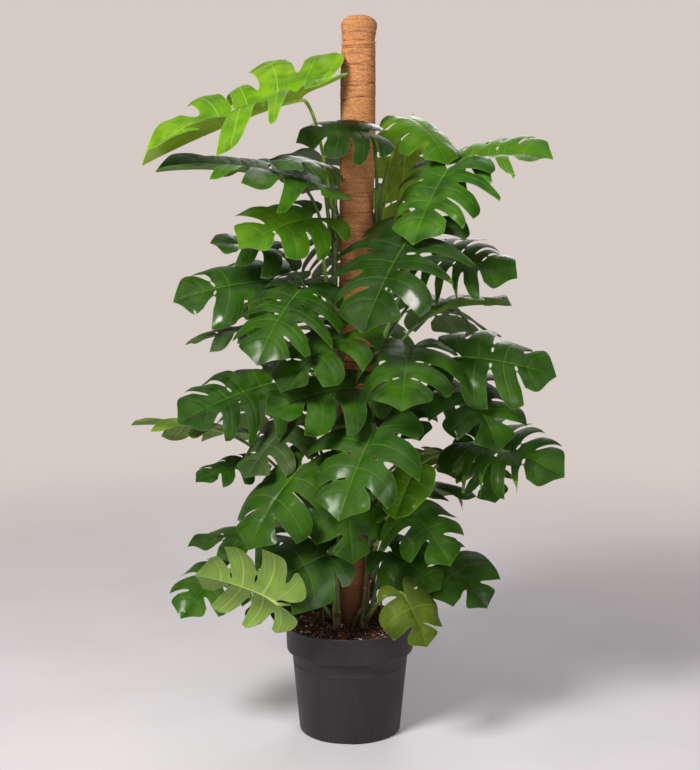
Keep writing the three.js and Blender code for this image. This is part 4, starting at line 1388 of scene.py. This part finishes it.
# %% Crumbs, bark and perlite
# A stone starts as a body of twelve points and twenty triangles.
STONE = np.array([(0, 0, 1), (0.89, 0, 0.45), (0.28, 0.85, 0.45), (-0.72, 0.53, 0.45), (-0.72, -0.53, 0.45),
                  (0.28, -0.85, 0.45), (0.72, 0.53, -0.45), (-0.28, 0.85, -0.45), (-0.89, 0, -0.45),
                  (-0.28, -0.85, -0.45), (0.72, -0.53, -0.45), (0, 0, -1)])
STONE_FACES = [(0, 1, 2), (0, 2, 3), (0, 3, 4), (0, 4, 5), (0, 5, 1), (1, 6, 2), (2, 6, 7), (2, 7, 3),
               (3, 7, 8), (3, 8, 4), (4, 8, 9), (4, 9, 5), (5, 9, 10), (5, 10, 1), (1, 10, 6), (6, 11, 7),
               (7, 11, 8), (8, 11, 9), (9, 11, 10), (10, 11, 6)]


def scatter(name, count, low, high, flatness, material):
    """Small uneven stones on the soil, sunk to their middle."""
    stones = []
    for _ in range(count):
        size = low + (high - low) * random.random() ** 2.5
        radius = (RIM_RADIUS - 8 - size) * math.sqrt(random.random())
        turn = 2 * math.pi * random.random()
        x, y = radius * math.cos(turn), radius * math.sin(turn)
        stretch = 0.6 + 0.8 * random.random(3)
        stretch[2] *= flatness
        spin = 2 * math.pi * random.random()
        lumpy = STONE * stretch * (0.8 + 0.4 * random.random((12, 1))) * size
        cos, sin = math.cos(spin), math.sin(spin)
        spun = lumpy @ np.array([[cos, sin, 0], [-sin, cos, 0], [0, 0, 1]])
        stones.append((spun + [x, y, soil_height(x, y) + 0.25 * size], STONE_FACES))
    make_piece(name, *joined(stones), [material], "potting_soil", sharp=20)
    print(name, count)


scatter("soil_crumbs", 1500, 0.9, 4.5, 0.8, PEAT)
scatter("bark_crumbs", 420, 1.2, 5.5, 0.5, BARK)
scatter("perlite_grains", 900, 0.5, 2.2, 0.9, PERLITE)

# %% [markdown]
# ## Air roots
#
# A swiss cheese plant sends air roots down from its nodes to the soil. In the photograph they show between
# the leaves as thin brown rods near the foot of the pole. Each one is a tube along a curve that leaves its
# stem, sinks beside it with a slight wave and ends in the soil, and it is a little uneven in thickness.


# %% Air roots
def root_material():
    material, tree, shader = new_material("root_bark", 0.75, specular=0.3)
    base, _ = blotches(tree, rgb(112, 88, 54), rgb(72, 50, 34), 55.0, 0.9)
    spots = grit(tree, 900.0, 200.0)
    dress(shader, base, spots * 0.3 + 0.45, spots, 0.7, 0.0015)
    return material


# Each air root: its stem, the height where it starts, and how far round and out from there it meets the soil.
AIR_ROOTS = [("left", 430, 22, 66), ("left", 330, -16, 60), ("right", 520, -20, 60), ("right", 400, 14, 72),
             ("right", 300, -34, 62), ("back_left", 380, 18, 70), ("back_right", 360, -16, 68)]


def make_air_roots():
    roots = []
    for k, (name, height, turn, reach) in enumerate(AIR_ROOTS):
        stem = STEMS[name]
        centre = stem_at(stem, height)
        away = from_pole(centre)
        angle = math.atan2(away[1], away[0]) + math.radians(turn)
        foot = np.array([reach * math.cos(angle), reach * math.sin(angle), 0])
        foot[2] = soil_height(foot[0], foot[1]) - 6
        start = centre + away * (stem_radius(stem, height) - 2)
        curve = (start, start + 16 * away - 12 * UP, foot + 0.55 * (height - foot[2]) * UP + 4 * away, foot)
        shares = np.linspace(0, 1, 40)
        places = [bezier(curve, u) + 1.6 * math.sin(9 * u + k) * np.cross(away, UP) for u in shares]
        radii = [2.9 - 0.9 * u + 0.25 * math.sin(23 * u + k) for u in shares]
        roots.append(tube(places, radii, 10))
    make_piece("air_roots", *joined(roots), [root_material()], "stem_green")
    print("air roots", len(AIR_ROOTS))


make_air_roots()

# %% [markdown]
# ## Floor and light
#
# The plant stands on a plain pale floor in soft light. The floor fades into the background some way off,
# so that no edge cuts the picture. A broad lamp from the upper left gives the long pale highlights on
# the leaves, a weaker one from the right opens the shadows, and a third behind the plant lights its edges.

# %% Floor
BACKDROP = rgb(222, 210, 204)
BACKDROP_STRENGTH = 0.92
FLOOR_HEIGHT = -0.2
FLOOR_RINGS = (0, 400, 800, 1600, 9000)


def make_floor():
    mesh = new_mesh("floor", *revolve([(radius, FLOOR_HEIGHT) for radius in FLOOR_RINGS], 96))
    material, tree, shader = new_material("pale_floor", 0.6)
    speck, _ = blotches(tree, rgb(214, 211, 217), rgb(206, 203, 209), 3.0, 0.6)
    join(speck, shader.inputs["Base Color"])
    add_bump(shader, grit(tree, 500.0, 60.0), 0.1, 0.0005)
    away = signal(tree, "VectorMath", "Value", {0: object_place(tree)}, operation="LENGTH")
    glow = signal(tree, "Emission", 0, {"Color": BACKDROP, "Strength": BACKDROP_STRENGTH})
    blend = signal(tree, "MixShader", 0, {0: ramp(away, 0.9, 3.2), 1: Signal(shader.outputs[0]), 2: glow})
    join(blend, tree.nodes["Material Output"].inputs[0])
    mesh.materials.append(material)
    floor = add_object("floor", mesh)
    print(floor.name, len(mesh.polygons), "faces")


make_floor()


# %% Lights
def add_lamp(name, place, target, size, power, colour=(1, 1, 1)):
    """A round lamp that faces its target."""
    lamp = bpy.data.lights.new(name, "AREA")
    lamp.shape, lamp.size, lamp.energy, lamp.color = "DISK", size, power, colour
    holder = add_object(name, lamp)
    holder.location = place
    holder.rotation_euler = (Vector(target) - Vector(place)).to_track_quat("-Z", "Y").to_euler()


world = bpy.data.worlds.new("studio")
world.use_nodes = True
tree = world.node_tree
sky = tree.nodes["Background"]
sky.inputs[0].default_value = BACKDROP
sky.inputs[1].default_value = 0.33
seen = signal(tree, "Background", 0, {0: BACKDROP, 1: BACKDROP_STRENGTH})
camera_ray = signal(tree, "LightPath", "Is Camera Ray")
either = signal(tree, "MixShader", 0, {0: camera_ray, 1: Signal(sky.outputs[0]), 2: seen})
join(either, tree.nodes["World Output"].inputs[0])
bpy.context.scene.world = world
bpy.context.scene.view_settings.view_transform = "Standard"
add_lamp("key", (-1.7, -2.3, 3.1), (0, 0, 0.8), 1.2, 172, (1.0, 0.98, 0.93))
add_lamp("fill", (1.6, -2.8, 1.5), (0, 0, 0.8), 2.0, 38, (0.97, 0.98, 1.0))
add_lamp("back", (0.6, 2.6, 2.4), (0, 0, 0.9), 1.6, 25)
print("lamps", [lamp.name for lamp in bpy.data.lights])
